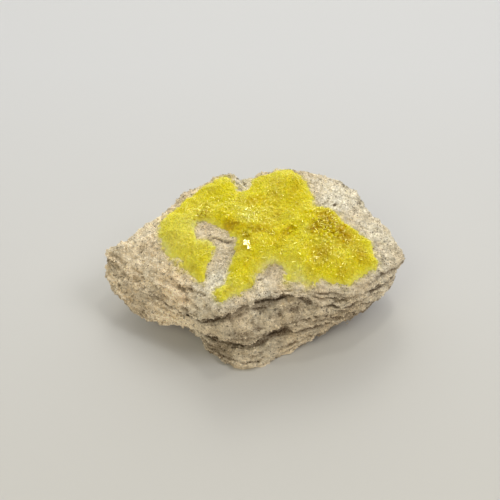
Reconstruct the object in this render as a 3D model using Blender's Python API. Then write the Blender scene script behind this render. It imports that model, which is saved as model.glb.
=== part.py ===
"""Native sulfur on its matrix: a loose hand specimen of bedded, pumice-like rock with a crust of
sulfur crystals grown over its top.

Two solids, in metres with +Z up: matrix_rock, which rests on its flat parting plane at Z = 0, and
sulfur_crust, one crust of crystals grown together that follows the rock's top. The origin is the
middle of the specimen's footprint, on the surface that it stands on. X runs along the rock and -Y
is its broken front, where the beds show.
"""

import math

import bmesh
import bpy
import numpy as np
from mathutils import Vector
from mathutils.bvhtree import BVHTree
from mathutils.geometry import delaunay_2d_cdt

MM = 0.001  # every size below is in millimetres, and becomes metres in new_object
BELL = 1.6  # how fast a bump falls away: at its radius it has a fifth of its height left

ROCK_COLOUR = (0.62, 0.56, 0.46)
ROCK_ROUGHNESS = 0.95
SULFUR_COLOUR = (0.80, 0.68, 0.05)
SULFUR_ROUGHNESS = 0.35

# ---- Matrix rock -------------------------------------------------------------------------------
# Each outline runs anticlockwise round the rock, as (x, y, z), and is straight between its points.

RIM = [  # where the top turns over into the broken sides
    (45.5, -0.5, 18.0), (43.0, 4.0, 19.5), (40.0, 9.0, 21.0), (34.0, 16.5, 22.5),
    (32.0, 22.5, 23.0), (22.5, 28.0, 24.5), (15.5, 29.6, 25.0), (9.5, 30.5, 25.0),
    (3.5, 29.3, 25.0), (-0.5, 26.2, 25.0), (-4.5, 25.0, 25.0), (-7.0, 27.6, 24.8),
    (-10.5, 29.0, 24.5), (-15.5, 26.2, 24.0), (-22.5, 19.0, 23.5), (-31.0, 10.0, 22.0),
    (-38.0, 4.0, 20.0), (-45.6, 1.0, 18.0), (-37.6, -3.6, 18.6), (-30.4, -8.0, 19.0),
    (-24.6, -11.6, 19.3), (-19.8, -14.8, 19.5), (-16.0, -18.2, 20.0), (-13.6, -22.4, 20.1),
    (-11.8, -25.6, 20.2), (-9.2, -27.2, 20.4), (-6.2, -25.6, 20.8), (-1.5, -22.2, 21.4),
    (7.5, -19.0, 22.0), (16.0, -18.6, 21.5), (26.5, -17.6, 21.0), (32.5, -14.6, 20.4),
    (37.6, -10.8, 20.0), (42.0, -6.0, 18.8),
]
UPPER_PARTING = [  # the open crack under the top bed, arched over the front
    (44.8, -0.5, 15.5), (43.0, 5.0, 16.0), (39.5, 10.0, 17.0), (33.5, 18.0, 18.0),
    (31.5, 23.5, 18.5), (22.0, 28.8, 19.5), (14.0, 30.0, 20.0), (9.0, 30.5, 20.2),
    (2.5, 28.8, 20.0), (-8.0, 27.2, 19.5), (-17.0, 25.5, 18.5), (-24.5, 19.0, 17.5),
    (-33.0, 11.0, 16.0), (-40.0, 5.5, 15.0), (-45.8, 0.5, 15.0), (-38.0, -9.0, 13.5),
    (-28.0, -15.5, 13.0), (-21.9, -19.9, 13.0), (-15.8, -23.6, 13.2), (-11.6, -25.4, 14.8),
    (-9.0, -26.1, 17.2), (-5.5, -24.6, 18.7), (-1.8, -22.9, 19.5), (3.0, -21.7, 20.0),
    (9.4, -20.4, 20.1), (14.7, -20.3, 19.0), (20.6, -20.2, 16.6), (26.0, -18.4, 14.8),
    (32.0, -15.0, 14.0), (38.5, -10.5, 14.0), (42.5, -5.5, 14.5),
]
BELLY = [  # the middle beds at their fullest
    (44.4, 0.5, 13.5), (41.5, 8.0, 13.5), (35.0, 17.5, 13.5), (32.0, 23.0, 13.5),
    (22.5, 28.2, 13.5), (13.0, 29.8, 13.5), (2.0, 28.2, 13.5), (-9.0, 26.5, 13.5),
    (-18.0, 25.0, 13.5), (-26.5, 18.5, 13.0), (-35.0, 11.0, 13.0), (-42.0, 5.0, 13.5),
    (-46.2, -0.6, 13.0), (-44.0, -5.4, 11.4), (-39.5, -9.8, 10.5), (-30.0, -16.2, 10.0),
    (-20.0, -21.0, 10.6), (-14.5, -23.8, 10.4), (-9.0, -26.1, 11.3), (-2.0, -26.0, 12.4),
    (5.0, -24.7, 13.4), (12.0, -23.0, 13.8), (18.0, -21.4, 13.3), (25.0, -18.6, 12.0),
    (33.0, -14.4, 11.5), (39.0, -9.8, 11.5), (42.6, -4.6, 13.0),
]
LOWER_PARTING = [  # the second open crack, and the lower edge of the overhanging ends
    (44.0, 1.0, 12.5), (41.0, 8.5, 10.5), (34.0, 17.5, 9.5), (31.0, 22.5, 9.0),
    (22.0, 27.8, 8.5), (13.0, 29.5, 8.0), (2.0, 27.5, 8.0), (-9.0, 25.5, 8.0),
    (-18.0, 23.5, 8.5), (-26.0, 17.0, 9.0), (-34.0, 10.0, 10.0), (-41.5, 4.0, 11.5),
    (-46.0, -2.2, 11.2), (-43.4, -6.6, 8.4), (-38.4, -12.2, 7.2), (-32.8, -16.6, 6.4),
    (-27.4, -18.0, 7.6), (-22.4, -20.0, 8.4), (-18.8, -21.4, 8.2), (-15.6, -22.8, 7.0),
    (-11.5, -24.4, 5.9), (-8.6, -25.5, 5.1), (-3.5, -25.7, 5.0), (1.0, -25.0, 5.6),
    (4.0, -24.2, 7.2), (10.0, -23.3, 8.2), (18.0, -21.5, 8.2), (22.0, -19.6, 8.4),
    (32.5, -14.6, 8.2), (38.6, -10.2, 8.6), (42.6, -4.4, 12.0),
]
FOOT = [  # the bottom bed: a wedge to the front, drawn in under the other sides
    (33.0, -6.0, 5.5), (30.0, 6.0, 4.5), (26.0, 17.0, 4.0), (12.0, 25.0, 3.5),
    (-5.0, 24.0, 3.5), (-19.0, 18.0, 4.0), (-27.0, 8.0, 4.5), (-29.0, -4.0, 5.0),
    (-22.5, -9.0, 4.6), (-17.8, -15.6, 4.0), (-16.4, -22.0, 3.6), (-14.2, -25.5, 2.0),
    (-10.5, -28.0, 1.5), (-3.2, -30.9, 1.4), (1.9, -29.9, 1.5), (6.2, -27.2, 1.6),
    (12.4, -24.0, 2.2), (19.0, -19.8, 3.4), (25.2, -16.6, 4.4), (30.0, -13.6, 5.0),
]
BASE = [  # the flat parting plane that it rests on
    (24.0, -3.0, 0.0), (23.0, 9.0, 0.0), (16.0, 18.0, 0.0), (4.0, 21.5, 0.0), (-9.0, 19.5, 0.0),
    (-18.0, 13.0, 0.0), (-21.0, 1.0, 0.0), (-17.6, -8.0, 0.0), (-15.0, -15.0, 0.0),
    (-14.6, -23.6, 0.0), (-9.0, -28.0, 0.0), (-3.0, -30.5, 0.0), (2.0, -29.5, 0.0),
    (6.2, -26.6, 0.0), (12.4, -22.8, 0.0), (20.0, -15.0, 0.0),
]
CROWN = 26.0  # height of the middle of the top
DOME = 2.2  # how late the top turns down towards its rim: the power of the share of the way there

COLUMNS = 88  # points round each row of the rock
TOP_ROWS = [0.95, 0.89, 0.82, 0.74, 0.66, 0.57, 0.48, 0.38, 0.27, 0.14]  # shares of the rim's radius

CRACK_DEPTH = 1.0  # of a parting where it is nearly closed
CRACK_OPENING = 0.28  # half its height, as a share of its depth
SILL_SETBACK = 0.2  # how far a parting's lower lip lies behind its upper lip

# Where the partings are widest open: (x, y, radius, extra depth).
UPPER_OPENINGS = [(0.0, -22.5, 11.0, 1.7), (11.5, -20.5, 5.0, 0.7), (-14.0, -24.0, 3.5, 0.5)]
LOWER_OPENINGS = [(11.0, -23.0, 3.6, 2.2), (-6.0, -25.5, 8.0, 1.1), (20.0, -20.5, 6.0, 0.9)]

# Ledges where a bed has broken back below its edge: (x, y, radius, depth).
TOP_BED_LEDGES = [(-27.0, -13.0, 9.0, 1.5), (-38.0, -5.0, 5.0, 0.8), (-16.0, -21.5, 5.0, 0.8),
                  (27.0, -17.5, 9.0, 1.1), (39.0, 8.0, 7.0, 0.8), (8.0, 30.0, 12.0, 0.9)]
LOWER_BED_LEDGES = [(-4.0, -26.0, 9.0, 0.9), (20.0, -20.5, 8.0, 0.8), (-32.0, -16.0, 8.0, 0.7),
                    (-14.0, 25.0, 12.0, 0.9), (33.0, 17.0, 8.0, 0.8)]
LEDGE_DROP = 0.14  # height of a ledge's undercut, as a share of its bed's

# Lumps of the rock's broken faces: (width, shift, seed).
LUMPS = [(9.0, 0.55, 11), (4.2, 0.32, 21)]

# Rises and dips of the rock's top: (x, y, radius, rise).
RELIEF = [
    (-11.0, -5.0, 7.0, -1.6),  # the bare hollow between two lobes of the crust
    (-9.5, -14.0, 5.0, -1.0),
    (5.5, -14.5, 5.0, -0.9),  # the bare dip at the front
    (27.0, 17.0, 10.0, 0.9),  # the pale back corner
    (9.0, 20.0, 9.0, 0.8),
    (-24.0, 2.0, 9.0, 1.2),  # the left shoulder
    (-36.0, -2.0, 7.0, -0.9),
    (20.0, -3.0, 12.0, 0.6),
]

# ---- Sulfur crust ------------------------------------------------------------------------------
CRUST_OUTLINE = [  # its edge in plan, (x, y), anticlockwise from the right end
    (35.9, -3.6), (35.4, 1.2), (31.2, 4.4), (26.8, 7.5), (24.5, 11.0), (21.2, 13.0),
    (18.2, 12.8), (18.6, 16.0), (17.6, 20.0), (16.5, 24.5), (14.8, 27.4), (12.0, 29.8),
    (6.5, 29.3), (4.0, 27.8), (-0.2, 25.6), (-1.3, 22.6), (-2.8, 20.0), (-5.2, 19.8),
    (-6.2, 23.8), (-7.2, 26.6), (-9.6, 27.6), (-12.6, 26.2), (-15.4, 24.4), (-18.2, 21.6),
    (-19.0, 19.4), (-22.4, 16.4), (-26.0, 12.6), (-29.2, 8.0), (-29.5, 4.2), (-28.8, 1.0),
    (-27.8, -2.6), (-25.4, -7.0), (-22.4, -9.4), (-19.4, -12.2), (-17.2, -14.8), (-15.2, -16.3),
    (-14.4, -14.8), (-14.2, -11.0), (-12.6, -7.4), (-11.4, -3.8), (-13.8, -1.0), (-17.2, -1.4),
    (-18.2, 2.4), (-17.6, 5.8), (-15.0, 6.2), (-11.6, 4.0), (-8.2, 1.4), (-5.8, -2.4),
    (-6.4, -8.0), (-7.8, -14.0), (-9.0, -17.8), (-11.9, -18.8), (-12.6, -21.2), (-11.0, -23.8),
    (-10.2, -24.9), (-8.8, -24.7), (-7.9, -23.2), (-4.3, -21.8), (-0.4, -18.6), (0.1, -15.8),
    (3.2, -12.8), (5.4, -10.7), (8.6, -12.8), (8.4, -15.4), (8.2, -17.4), (9.4, -18.2),
    (14.4, -18.5), (17.4, -18.0), (19.6, -16.2), (23.0, -16.8), (26.4, -17.0), (29.0, -15.4),
    (33.0, -12.0), (36.4, -9.4), (37.2, -6.6),
]
CRUST_GAP = 0.35  # between the crust's underside and the rock
CRUST_EDGE = 0.7  # thickness of the crust at its edge
CRUST_BODY = 1.5  # and away from it
CRUST_LEAST = 0.5
CRUST_SHOULDER = 3.5  # distance from the edge over which it thickens
CRUST_WAVES = (6.0, 0.4)  # width and rise of its slow swells
EDGE_STEP = 1.9  # between the points along its edge
EDGE_NUDGE = (2.2, 0.3)  # width and shift of the edge's small bays

CRYSTAL_PITCH = 2.35
CRYSTAL_JITTER = (1.1, 0.42)  # width and shift of what takes the crystals off their honeycomb
CRYSTAL_RISE = (0.5, 1.3)  # least and most height of a crystal's tip over its valleys
CRYSTAL_SIZES = 1.7  # distance over which neighbours differ in height
CRYSTAL_MARGIN = 0.65  # that crystals keep from the crust's edge

# Swellings of the crust: (x, y, radius, rise).
CRUST_LOBES = [
    (10.0, 22.5, 9.0, 1.5),
    (-9.5, 22.0, 6.0, 0.8),
    (-22.5, 5.0, 8.0, 0.8),
    (-8.0, 8.0, 8.0, 0.9),  # the ledge that stands over the middle
    (23.0, 4.0, 8.0, 0.9),
    (29.0, -8.0, 8.0, 0.7),
]


def lattice_noise(points, cell, seed):
    """Smooth noise from -1 to 1 at each point, with features about one cell wide.

    Random values at the corners of a cubic lattice are blended with a smooth step along each axis.
    """
    scaled = np.asarray(points, float) / cell + 17.3 * seed
    corner = np.floor(scaled).astype(np.int64)
    share = scaled - corner
    share = share * share * (3.0 - 2.0 * share)
    total = np.zeros(len(scaled))
    for step in np.ndindex(2, 2, 2):
        at = corner + step
        mixed = at[:, 0] * 73856093 ^ at[:, 1] * 19349663 ^ at[:, 2] * 83492791 ^ seed * 2654435
        mixed = (mixed ^ (mixed >> 13)) * 1274126177 & 0x7FFFFFFF
        mixed = (mixed ^ (mixed >> 16)) & 0xFFFFF
        weight = np.prod(np.where(step, share, 1.0 - share), axis=1)
        total += weight * (mixed / 0x7FFFF - 1.0)
    return total


def outline_at(points, angles):
    """Where each ray from the Z axis meets a closed outline: its x, y and the outline's z there."""
    corners = np.array(points, float)
    turn = np.arctan2(corners[:, 1], corners[:, 0]) % (2 * math.pi)
    corners, turn = corners[np.argsort(turn)], np.sort(turn)
    after = np.searchsorted(turn, angles % (2 * math.pi)) % len(corners)
    start, end = corners[after - 1], corners[after]
    edge = end - start
    ray = np.stack([np.cos(angles), np.sin(angles)], axis=1)
    across = ray[:, 0] * edge[:, 1] - ray[:, 1] * edge[:, 0]
    reach = (start[:, 0] * edge[:, 1] - start[:, 1] * edge[:, 0]) / across
    along = (start[:, 0] * ray[:, 1] - start[:, 1] * ray[:, 0]) / across
    return np.column_stack([ray * reach[:, None], start[:, 2] + along * edge[:, 2]])


def bumps_at(points, bumps):
    """Summed height of round bumps (x, y, radius, rise), each a bell that falls to nothing."""
    height = np.zeros(len(points))
    for x, y, radius, rise in bumps:
        squared = ((points[:, 0] - x) ** 2 + (points[:, 1] - y) ** 2) / radius**2
        height += rise * np.exp(-BELL * squared)
    return height


def drawn_in(row, depth):
    """A row moved towards the Z axis by a depth that may differ from point to point."""
    reach = np.hypot(row[:, 0], row[:, 1])
    inner = row.copy()
    inner[:, :2] *= ((reach - depth) / reach)[:, None]
    return inner


def between(first, second, share, bulge=0.0):
    """A row between two others, pushed out by bulge."""
    return drawn_in(first * (1 - share) + second * share, -bulge)


def parting(row, openings, seed):
    """Three rows that open a crack along a row: its upper lip, its floor and its lower lip."""
    width = LUMPS[0][0]
    depth = CRACK_DEPTH * (1 + 0.5 * lattice_noise(row, width, seed)) + bumps_at(row, openings)
    upper, floor, lower = row.copy(), drawn_in(row, depth), drawn_in(row, SILL_SETBACK)
    upper[:, 2] += CRACK_OPENING * depth
    lower[:, 2] -= CRACK_OPENING * depth
    return [upper, floor, lower]


def ledge(first, second, share, ledges):
    """Two rows between two others: the lip of a ledge, and the bed set back just below it."""
    depth = bumps_at(first, ledges)
    lip = between(first, second, share, bulge=0.35 + 0.3 * depth)
    return [lip, between(first, second, share + LEDGE_DROP, bulge=0.35 - 0.7 * depth)]


def top_row(rim, share):
    """A row of the rock's domed top, at a share of the rim's radius."""
    row = rim.copy()
    row[:, :2] *= share
    row[:, 2] = CROWN + (rim[:, 2] - CROWN) * share**DOME
    row[:, 2] += bumps_at(row, RELIEF) * (1 - share**6)
    return row


def rock_rows():
    """The rock's rows of points, from the middle of its top, over its rim and down to its base."""
    angles = np.arange(COLUMNS) * 2 * math.pi / COLUMNS
    outlines = (RIM, UPPER_PARTING, BELLY, LOWER_PARTING, FOOT, BASE)
    rim, upper, belly, lower, foot, base = (outline_at(points, angles) for points in outlines)
    upper_lip, upper_floor, upper_sill = parting(upper, UPPER_OPENINGS, 3)
    lower_lip, lower_floor, lower_sill = parting(lower, LOWER_OPENINGS, 5)
    rows = [top_row(rim, share) for share in reversed(TOP_ROWS)]
    rows += [rim, *ledge(rim, upper_lip, 0.42, TOP_BED_LEDGES), upper_lip, upper_floor, upper_sill]
    rows += [between(upper_sill, belly, 0.5, bulge=0.3), belly]
    rows += ledge(belly, lower_lip, 0.5, LOWER_BED_LEDGES)
    rows += [lower_lip, lower_floor, lower_sill, between(lower_sill, foot, 0.5), foot]
    return [row + lumps(row) for row in rows] + [base + lumps(base) * (1, 1, 0)]


def lumps(row):
    """How far each point of a row is shifted, along each axis, by the rock's lumps."""
    shift = np.zeros(row.shape)
    for width, size, seed in LUMPS:
        for axis in range(3):
            shift[:, axis] += size * lattice_noise(row, width, seed + axis)
    return shift


def flat_noise(plan, cell, seed):
    """Smooth noise at points of the plan."""
    return lattice_noise(np.column_stack([plan, np.zeros(len(plan))]), cell, seed)


def crust_edge():
    """The crust's outline with extra points along its sides, each nudged a little."""
    corners = np.array(CRUST_OUTLINE, float)
    points = []
    for start, end in zip(corners, np.roll(corners, -1, axis=0)):
        steps = max(1, round(float(np.linalg.norm(end - start)) / EDGE_STEP))
        points += [start + (end - start) * step / steps for step in range(steps)]
    plan = np.array(points)
    width, shift = EDGE_NUDGE
    return plan + shift * np.stack([flat_noise(plan, width, seed) for seed in (31, 32)], axis=1)


def distance_to_edge(points, edge):
    """Distance from each point to a closed polyline."""
    start, end = edge, np.roll(edge, -1, axis=0)
    side = end - start
    offset = points[:, None, :] - start[None, :, :]
    along = np.clip((offset * side).sum(2) / (side * side).sum(1), 0.0, 1.0)
    return np.linalg.norm(offset - along[..., None] * side, axis=2).min(axis=1)


def inside(points, edge):
    """Whether each point is inside a closed polyline, by counting the sides that a ray crosses."""
    start, end = edge, np.roll(edge, -1, axis=0)
    x, y = points[:, :1], points[:, 1:]
    spans = (start[:, 1] > y) != (end[:, 1] > y)
    rise = end[:, 1] - start[:, 1]
    crossing = start[:, 0] + (y - start[:, 1]) / np.where(rise == 0, 1, rise) * (end - start)[:, 0]
    return (spans & (x < crossing)).sum(axis=1) % 2 == 1


def crystal_points(edge):
    """Tips and valleys of the crystals in plan: a jittered honeycomb that keeps off the edge.

    Each tip has six valleys round it, so each crystal is a six-sided pyramid with flat faces.
    """
    column, row = np.meshgrid(np.arange(-20, 21), np.arange(-18, 19))
    height = math.sqrt(0.75)  # of the honeycomb's triangles, whose sides are 1
    centres = np.stack([column + row / 2, row * height], axis=-1).reshape(-1, 2)
    valleys = [centres + (0.5, height / 3), centres + (1.0, height * 2 / 3)]
    plan = np.concatenate([centres, *valleys]) * CRYSTAL_PITCH
    is_tip = np.arange(len(plan)) < len(centres)
    width, shift = CRYSTAL_JITTER
    plan += shift * np.stack([flat_noise(plan, width, seed) for seed in (41, 42)], axis=1)
    keep = inside(plan, edge)
    keep &= distance_to_edge(plan, edge) > CRYSTAL_MARGIN
    return plan[keep], is_tip[keep]


def crust_thickness(plan, is_tip, distance):
    """Height of the crust's upper face over its underside, with a tip on each crystal."""
    swell = np.clip(distance / CRUST_SHOULDER, 0, 1)
    swell = swell * (2 - swell)
    width, rise = CRUST_WAVES
    lobes = bumps_at(plan, CRUST_LOBES) + rise * flat_noise(plan, width, 51)
    thickness = CRUST_EDGE + swell * (CRUST_BODY - CRUST_EDGE + lobes)
    low, high = CRYSTAL_RISE
    tall = low + (high - low) * (1 + flat_noise(plan, CRYSTAL_SIZES, 52)) / 2
    return np.maximum(thickness + is_tip * tall * (0.4 + 0.6 * swell), CRUST_LEAST)


def matrix_rock():
    """The rock as rows of points round the Z axis, closed by a fan on top and a flat base."""
    build = bmesh.new()
    rows = [[build.verts.new(point) for point in row] for row in rock_rows()]
    middle = build.verts.new((0.0, 0.0, CROWN + bumps_at(np.zeros((1, 2)), RELIEF)[0]))
    for i in range(COLUMNS):
        j = (i + 1) % COLUMNS
        build.faces.new((middle, rows[0][i], rows[0][j]))
        for inner, outer in zip(rows, rows[1:]):
            build.faces.new((inner[i], outer[i], outer[j], inner[j]))
    build.faces.new(list(reversed(rows[-1])))
    bmesh.ops.triangulate(build, faces=[face for face in build.faces if len(face.verts) == 4])
    return build


def sulfur_crust(rock):
    """The crust as a sheet of crystals over the rock, closed by its underside and its edge."""
    surface = BVHTree.FromBMesh(rock)
    edge = crust_edge()
    tips_and_valleys, is_tip = crystal_points(edge)
    plan = np.concatenate([edge, tips_and_valleys])
    is_tip = np.concatenate([np.zeros(len(edge), bool), is_tip])
    border = [(i, (i + 1) % len(edge)) for i in range(len(edge))]
    faces = delaunay_2d_cdt([Vector(point) for point in plan], border, [], 1, 1e-6)[2]
    distance = distance_to_edge(plan, edge) * (np.arange(len(plan)) >= len(edge))
    build = bmesh.new()
    under, over = [], []
    for (x, y), thickness in zip(plan, crust_thickness(plan, is_tip, distance)):
        rock_top = surface.ray_cast(Vector((x, y, 2 * CROWN)), Vector((0, 0, -1)))[0].z
        under.append(build.verts.new((x, y, rock_top + CRUST_GAP)))
        over.append(build.verts.new((x, y, rock_top + CRUST_GAP + thickness)))
    for a, b, c in faces:
        build.faces.new((over[a], over[b], over[c]))
        build.faces.new((under[c], under[b], under[a]))
    for a, b in border:
        build.faces.new((under[a], under[b], over[b], over[a]))
    return build


def new_object(name, shape, colour, roughness):
    """An object from a bmesh in millimetres, with a plain material of its own."""
    bmesh.ops.scale(shape, vec=(MM, MM, MM), verts=shape.verts)
    bmesh.ops.recalc_face_normals(shape, faces=shape.faces)
    mesh = bpy.data.meshes.new(name)
    shape.to_mesh(mesh)
    shape.free()
    material = bpy.data.materials.new(name)
    material.use_nodes = True
    shader = material.node_tree.nodes["Principled BSDF"]
    shader.inputs["Base Color"].default_value = (*colour, 1.0)
    shader.inputs["Roughness"].default_value = roughness
    shader.inputs["Metallic"].default_value = 0.0
    mesh.materials.append(material)
    item = bpy.data.objects.new(name, mesh)
    bpy.context.scene.collection.objects.link(item)


def main():
    """Clears the scene and builds the two solids."""
    for item in list(bpy.data.objects):
        bpy.data.objects.remove(item)
    rock = matrix_rock()
    crust = sulfur_crust(rock)
    new_object("matrix_rock", rock, ROCK_COLOUR, ROCK_ROUGHNESS)
    new_object("sulfur_crust", crust, SULFUR_COLOUR, SULFUR_ROUGHNESS)


main()
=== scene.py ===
"""Native sulfur on its matrix: the finished surfaces of a loose hand specimen.

The frame holds two plain solids. The rock and the crust of crystals on it are each replaced here by
finer surfaces, worked out from the same outlines, and stand on a pale table under soft light.
Lengths are in millimetres until a mesh is made, which turns them into metres.
"""

import logging
import math
from dataclasses import dataclass
from enum import Enum
from functools import cached_property

import bpy
import numpy as np
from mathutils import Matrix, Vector

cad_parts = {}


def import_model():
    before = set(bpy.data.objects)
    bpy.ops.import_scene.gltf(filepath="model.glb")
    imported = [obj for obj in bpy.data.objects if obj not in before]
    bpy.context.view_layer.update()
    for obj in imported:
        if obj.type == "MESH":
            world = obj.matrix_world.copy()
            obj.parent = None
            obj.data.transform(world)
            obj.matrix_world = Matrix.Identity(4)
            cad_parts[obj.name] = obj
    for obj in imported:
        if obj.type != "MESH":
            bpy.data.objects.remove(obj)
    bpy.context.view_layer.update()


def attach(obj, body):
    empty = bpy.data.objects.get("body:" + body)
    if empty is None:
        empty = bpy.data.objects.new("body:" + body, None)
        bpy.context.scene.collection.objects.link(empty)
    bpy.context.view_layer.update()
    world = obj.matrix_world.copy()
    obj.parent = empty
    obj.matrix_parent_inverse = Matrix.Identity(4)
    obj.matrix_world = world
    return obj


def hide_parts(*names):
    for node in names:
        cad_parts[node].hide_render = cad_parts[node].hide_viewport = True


MM = 0.001
BELL = 1.6  # how fast a bump falls away: at its radius it has a fifth of its height left

Array = np.ndarray
Socket = bpy.types.NodeSocket
Colour = tuple[float, float, float]
Points = tuple[tuple[float, ...], ...]
Bumps = tuple[tuple[float, float, float, float], ...]
Layers = tuple[tuple[float, float, int], ...]

log = logging.getLogger("specimen")


# ---- Noise and outlines --------------------------------------------------------------------------


def lattice_random(corner: Array, seed: int) -> Array:
    """A repeatable random value from -1 to 1 for each corner of a cubic lattice, by mixing bits."""
    x, y, z = corner[..., 0], corner[..., 1], corner[..., 2]
    mixed = x * 73856093 ^ y * 19349663 ^ z * 83492791 ^ seed * 2654435
    mixed = (mixed ^ (mixed >> 13)) * 1274126177 & 0x7FFFFFFF
    mixed = (mixed ^ (mixed >> 16)) & 0xFFFFF
    return mixed / 0x7FFFF - 1.0


def noise(points: Array, cell: float, seed: int) -> Array:
    """Smooth noise from -1 to 1: lattice values blended with a smooth step along each axis.

    Args:
        points: places, shape (..., 3).
        cell: width of one feature.
        seed: picks one of many independent patterns.

    Returns:
        Values of shape (...).
    """
    scaled = points / cell + 17.3 * seed
    corner = np.floor(scaled).astype(np.int64)
    share = smooth(scaled - corner, 0.0, 1.0)
    total = np.zeros(points.shape[:-1])
    for step in np.ndindex(2, 2, 2):
        weight = np.prod(np.where(step, share, 1.0 - share), axis=-1)
        total += weight * lattice_random(corner + step, seed)
    return total


def layered(points: Array, layers: Layers, start: Array | float = 0.0) -> Array:
    """Layers of noise, each given as (width, size, seed), added to a start."""
    return sum((size * noise(points, width, seed) for width, size, seed in layers), start)


def nearest_seed(points: Array, cell: float, seed: int) -> tuple[Array, Array]:
    """Distance from each point to the nearest of one randomly placed seed per lattice cell.

    Args:
        points: places, shape (..., 3).
        cell: width of a lattice cell.
        seed: picks the pattern.

    Returns:
        The distance, and the nearest seed's own random value from 0 to 1.
    """
    home = np.floor(points / cell).astype(np.int64)
    nearest, value = np.full(points.shape[:-1], np.inf), np.zeros(points.shape[:-1])
    for step in np.ndindex(3, 3, 3):
        corner = home + step - 1
        place = [lattice_random(corner, seed + axis) / 2 + 0.5 for axis in range(3)]
        distance = length((corner + np.stack(place, axis=-1)) * cell - points)
        closer = distance < nearest
        nearest = np.where(closer, distance, nearest)
        value = np.where(closer, lattice_random(corner, seed + 3) / 2 + 0.5, value)
    return nearest, value


def length(vectors: Array) -> Array:
    """Length of each vector along the last axis."""
    return np.linalg.norm(vectors, axis=-1)


def smooth(value: Array, low: float, high: float) -> Array:
    """A smooth step: 0 below low, 1 above high, and 3t^2 - 2t^3 of the share t between them."""
    share = np.clip((value - low) / (high - low), 0.0, 1.0)
    return share * share * (3.0 - 2.0 * share)


def bumps_at(points: Array, bumps: Points) -> Array:
    """Summed height of bell-shaped bumps, each (x, y, radius, rise) or (x, y, z, radius, rise)."""
    height = np.zeros(points.shape[:-1])
    for *middle, radius, rise in bumps:
        squared = ((points[..., : len(middle)] - middle) ** 2).sum(axis=-1) / radius**2
        height += rise * np.exp(-BELL * squared)
    return height


def outline_at(points: Points, angles: Array) -> Array:
    """Where a ray from the Z axis at each angle meets a closed outline of straight sides (x, y, z)."""
    corners = np.array(points, float)
    turn = np.arctan2(corners[:, 1], corners[:, 0]) % (2 * math.pi)
    corners, turn = corners[np.argsort(turn)], np.sort(turn)
    after = np.searchsorted(turn, angles % (2 * math.pi)) % len(corners)
    start, end = corners[after - 1], corners[after]
    edge = end - start
    ray = np.stack([np.cos(angles), np.sin(angles)], axis=1)
    across = ray[:, 0] * edge[:, 1] - ray[:, 1] * edge[:, 0]
    reach = (start[:, 0] * edge[:, 1] - start[:, 1] * edge[:, 0]) / across
    along = (start[:, 0] * ray[:, 1] - start[:, 1] * ray[:, 0]) / across
    return np.column_stack([ray * reach[:, None], start[:, 2] + along * edge[:, 2]])


def distance_to_line(points: Array, line: Points, closed: bool = False) -> Array:
    """Distance from each point to a polyline, in as many dimensions as both have.

    Each point is dropped onto every side, at the share of the side clipped to 0..1.

    Args:
        points: places, shape (n, d).
        line: the polyline's corners, of d numbers each.
        closed: whether a last side joins the last corner to the first.

    Returns:
        Distances of shape (n,).
    """
    corners = np.array([*line, line[0]] if closed else line)
    nearest = np.full(len(points), np.inf)
    for first, side in zip(corners, np.diff(corners, axis=0)):
        share = np.clip((points - first) @ side / (side @ side), 0.0, 1.0)
        nearest = np.minimum(nearest, length(points - first - share[:, None] * side))
    return nearest


def inside(points: Array, outline: Points) -> Array:
    """Whether each point is inside a closed outline, by counting the sides that a ray crosses."""
    start = np.array(outline)
    end = np.roll(start, -1, axis=0)
    x, y = points[:, :1], points[:, 1:2]
    spans = (start[:, 1] > y) != (end[:, 1] > y)
    rise = end[:, 1] - start[:, 1]
    slope = (end - start)[:, 0] / np.where(rise == 0, 1, rise)
    return (spans & (x < start[:, 0] + (y - start[:, 1]) * slope)).sum(axis=1) % 2 == 1


def flat(plan: Array) -> Array:
    """Points of the plan as points in space, at height 0."""
    return np.concatenate([plan, np.zeros(plan.shape[:-1] + (1,))], axis=-1)


# ---- Meshes --------------------------------------------------------------------------------------


def mesh_piece(
    name: str, points: Array, faces: list[Array], values: dict[str, Array] | None = None
) -> bpy.types.Object:
    """A flat-shaded mesh object at the origin, with its place in its mesh.

    Args:
        name: the object's name.
        points: vertices in millimetres, shape (n, 3).
        faces: arrays of vertex numbers, each of shape (number of faces, corners of each).
        values: named values at the vertices, each of shape (n,), for the material to read.

    Returns:
        The object, linked to the scene.
    """
    mesh = bpy.data.meshes.new(name)
    corners = np.concatenate([block.ravel() for block in faces])
    sizes = np.concatenate([np.full(len(block), block.shape[1]) for block in faces])
    mesh.vertices.add(len(points))
    mesh.vertices.foreach_set("co", (points * MM).astype(np.float32).ravel())
    mesh.loops.add(len(corners))
    mesh.loops.foreach_set("vertex_index", corners.astype(np.int32))
    mesh.polygons.add(len(sizes))
    mesh.polygons.foreach_set("loop_start", (np.cumsum(sizes) - sizes).astype(np.int32))
    mesh.polygons.foreach_set("use_smooth", np.zeros(len(sizes), bool))
    mesh.update(calc_edges=True)
    for key, value in (values or {}).items():
        attribute = mesh.attributes.new(key, "FLOAT", "POINT")
        attribute.data.foreach_set("value", value.astype(np.float32))
    piece = bpy.data.objects.new(name, mesh)
    bpy.context.scene.collection.objects.link(piece)
    log.info("%s: %d triangles", name, int((sizes - 2).sum()))
    return piece


def repeated(values: dict[str, Array], times: int) -> dict[str, Array]:
    """Named values with each one repeated, for every corner of its own crystal or crumb."""
    return {key: np.repeat(value, times) for key, value in values.items()}


def grid_faces(rows: int, columns: int) -> Array:
    """Quads of a grid whose columns close on themselves, facing out where rows run down and out."""
    index = np.arange(rows * columns).reshape(rows, columns)
    after = np.roll(index, -1, axis=1)
    quads = np.stack([index[:-1], index[1:], after[1:], after[:-1]], axis=-1)
    return quads.reshape(-1, 4)


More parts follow.
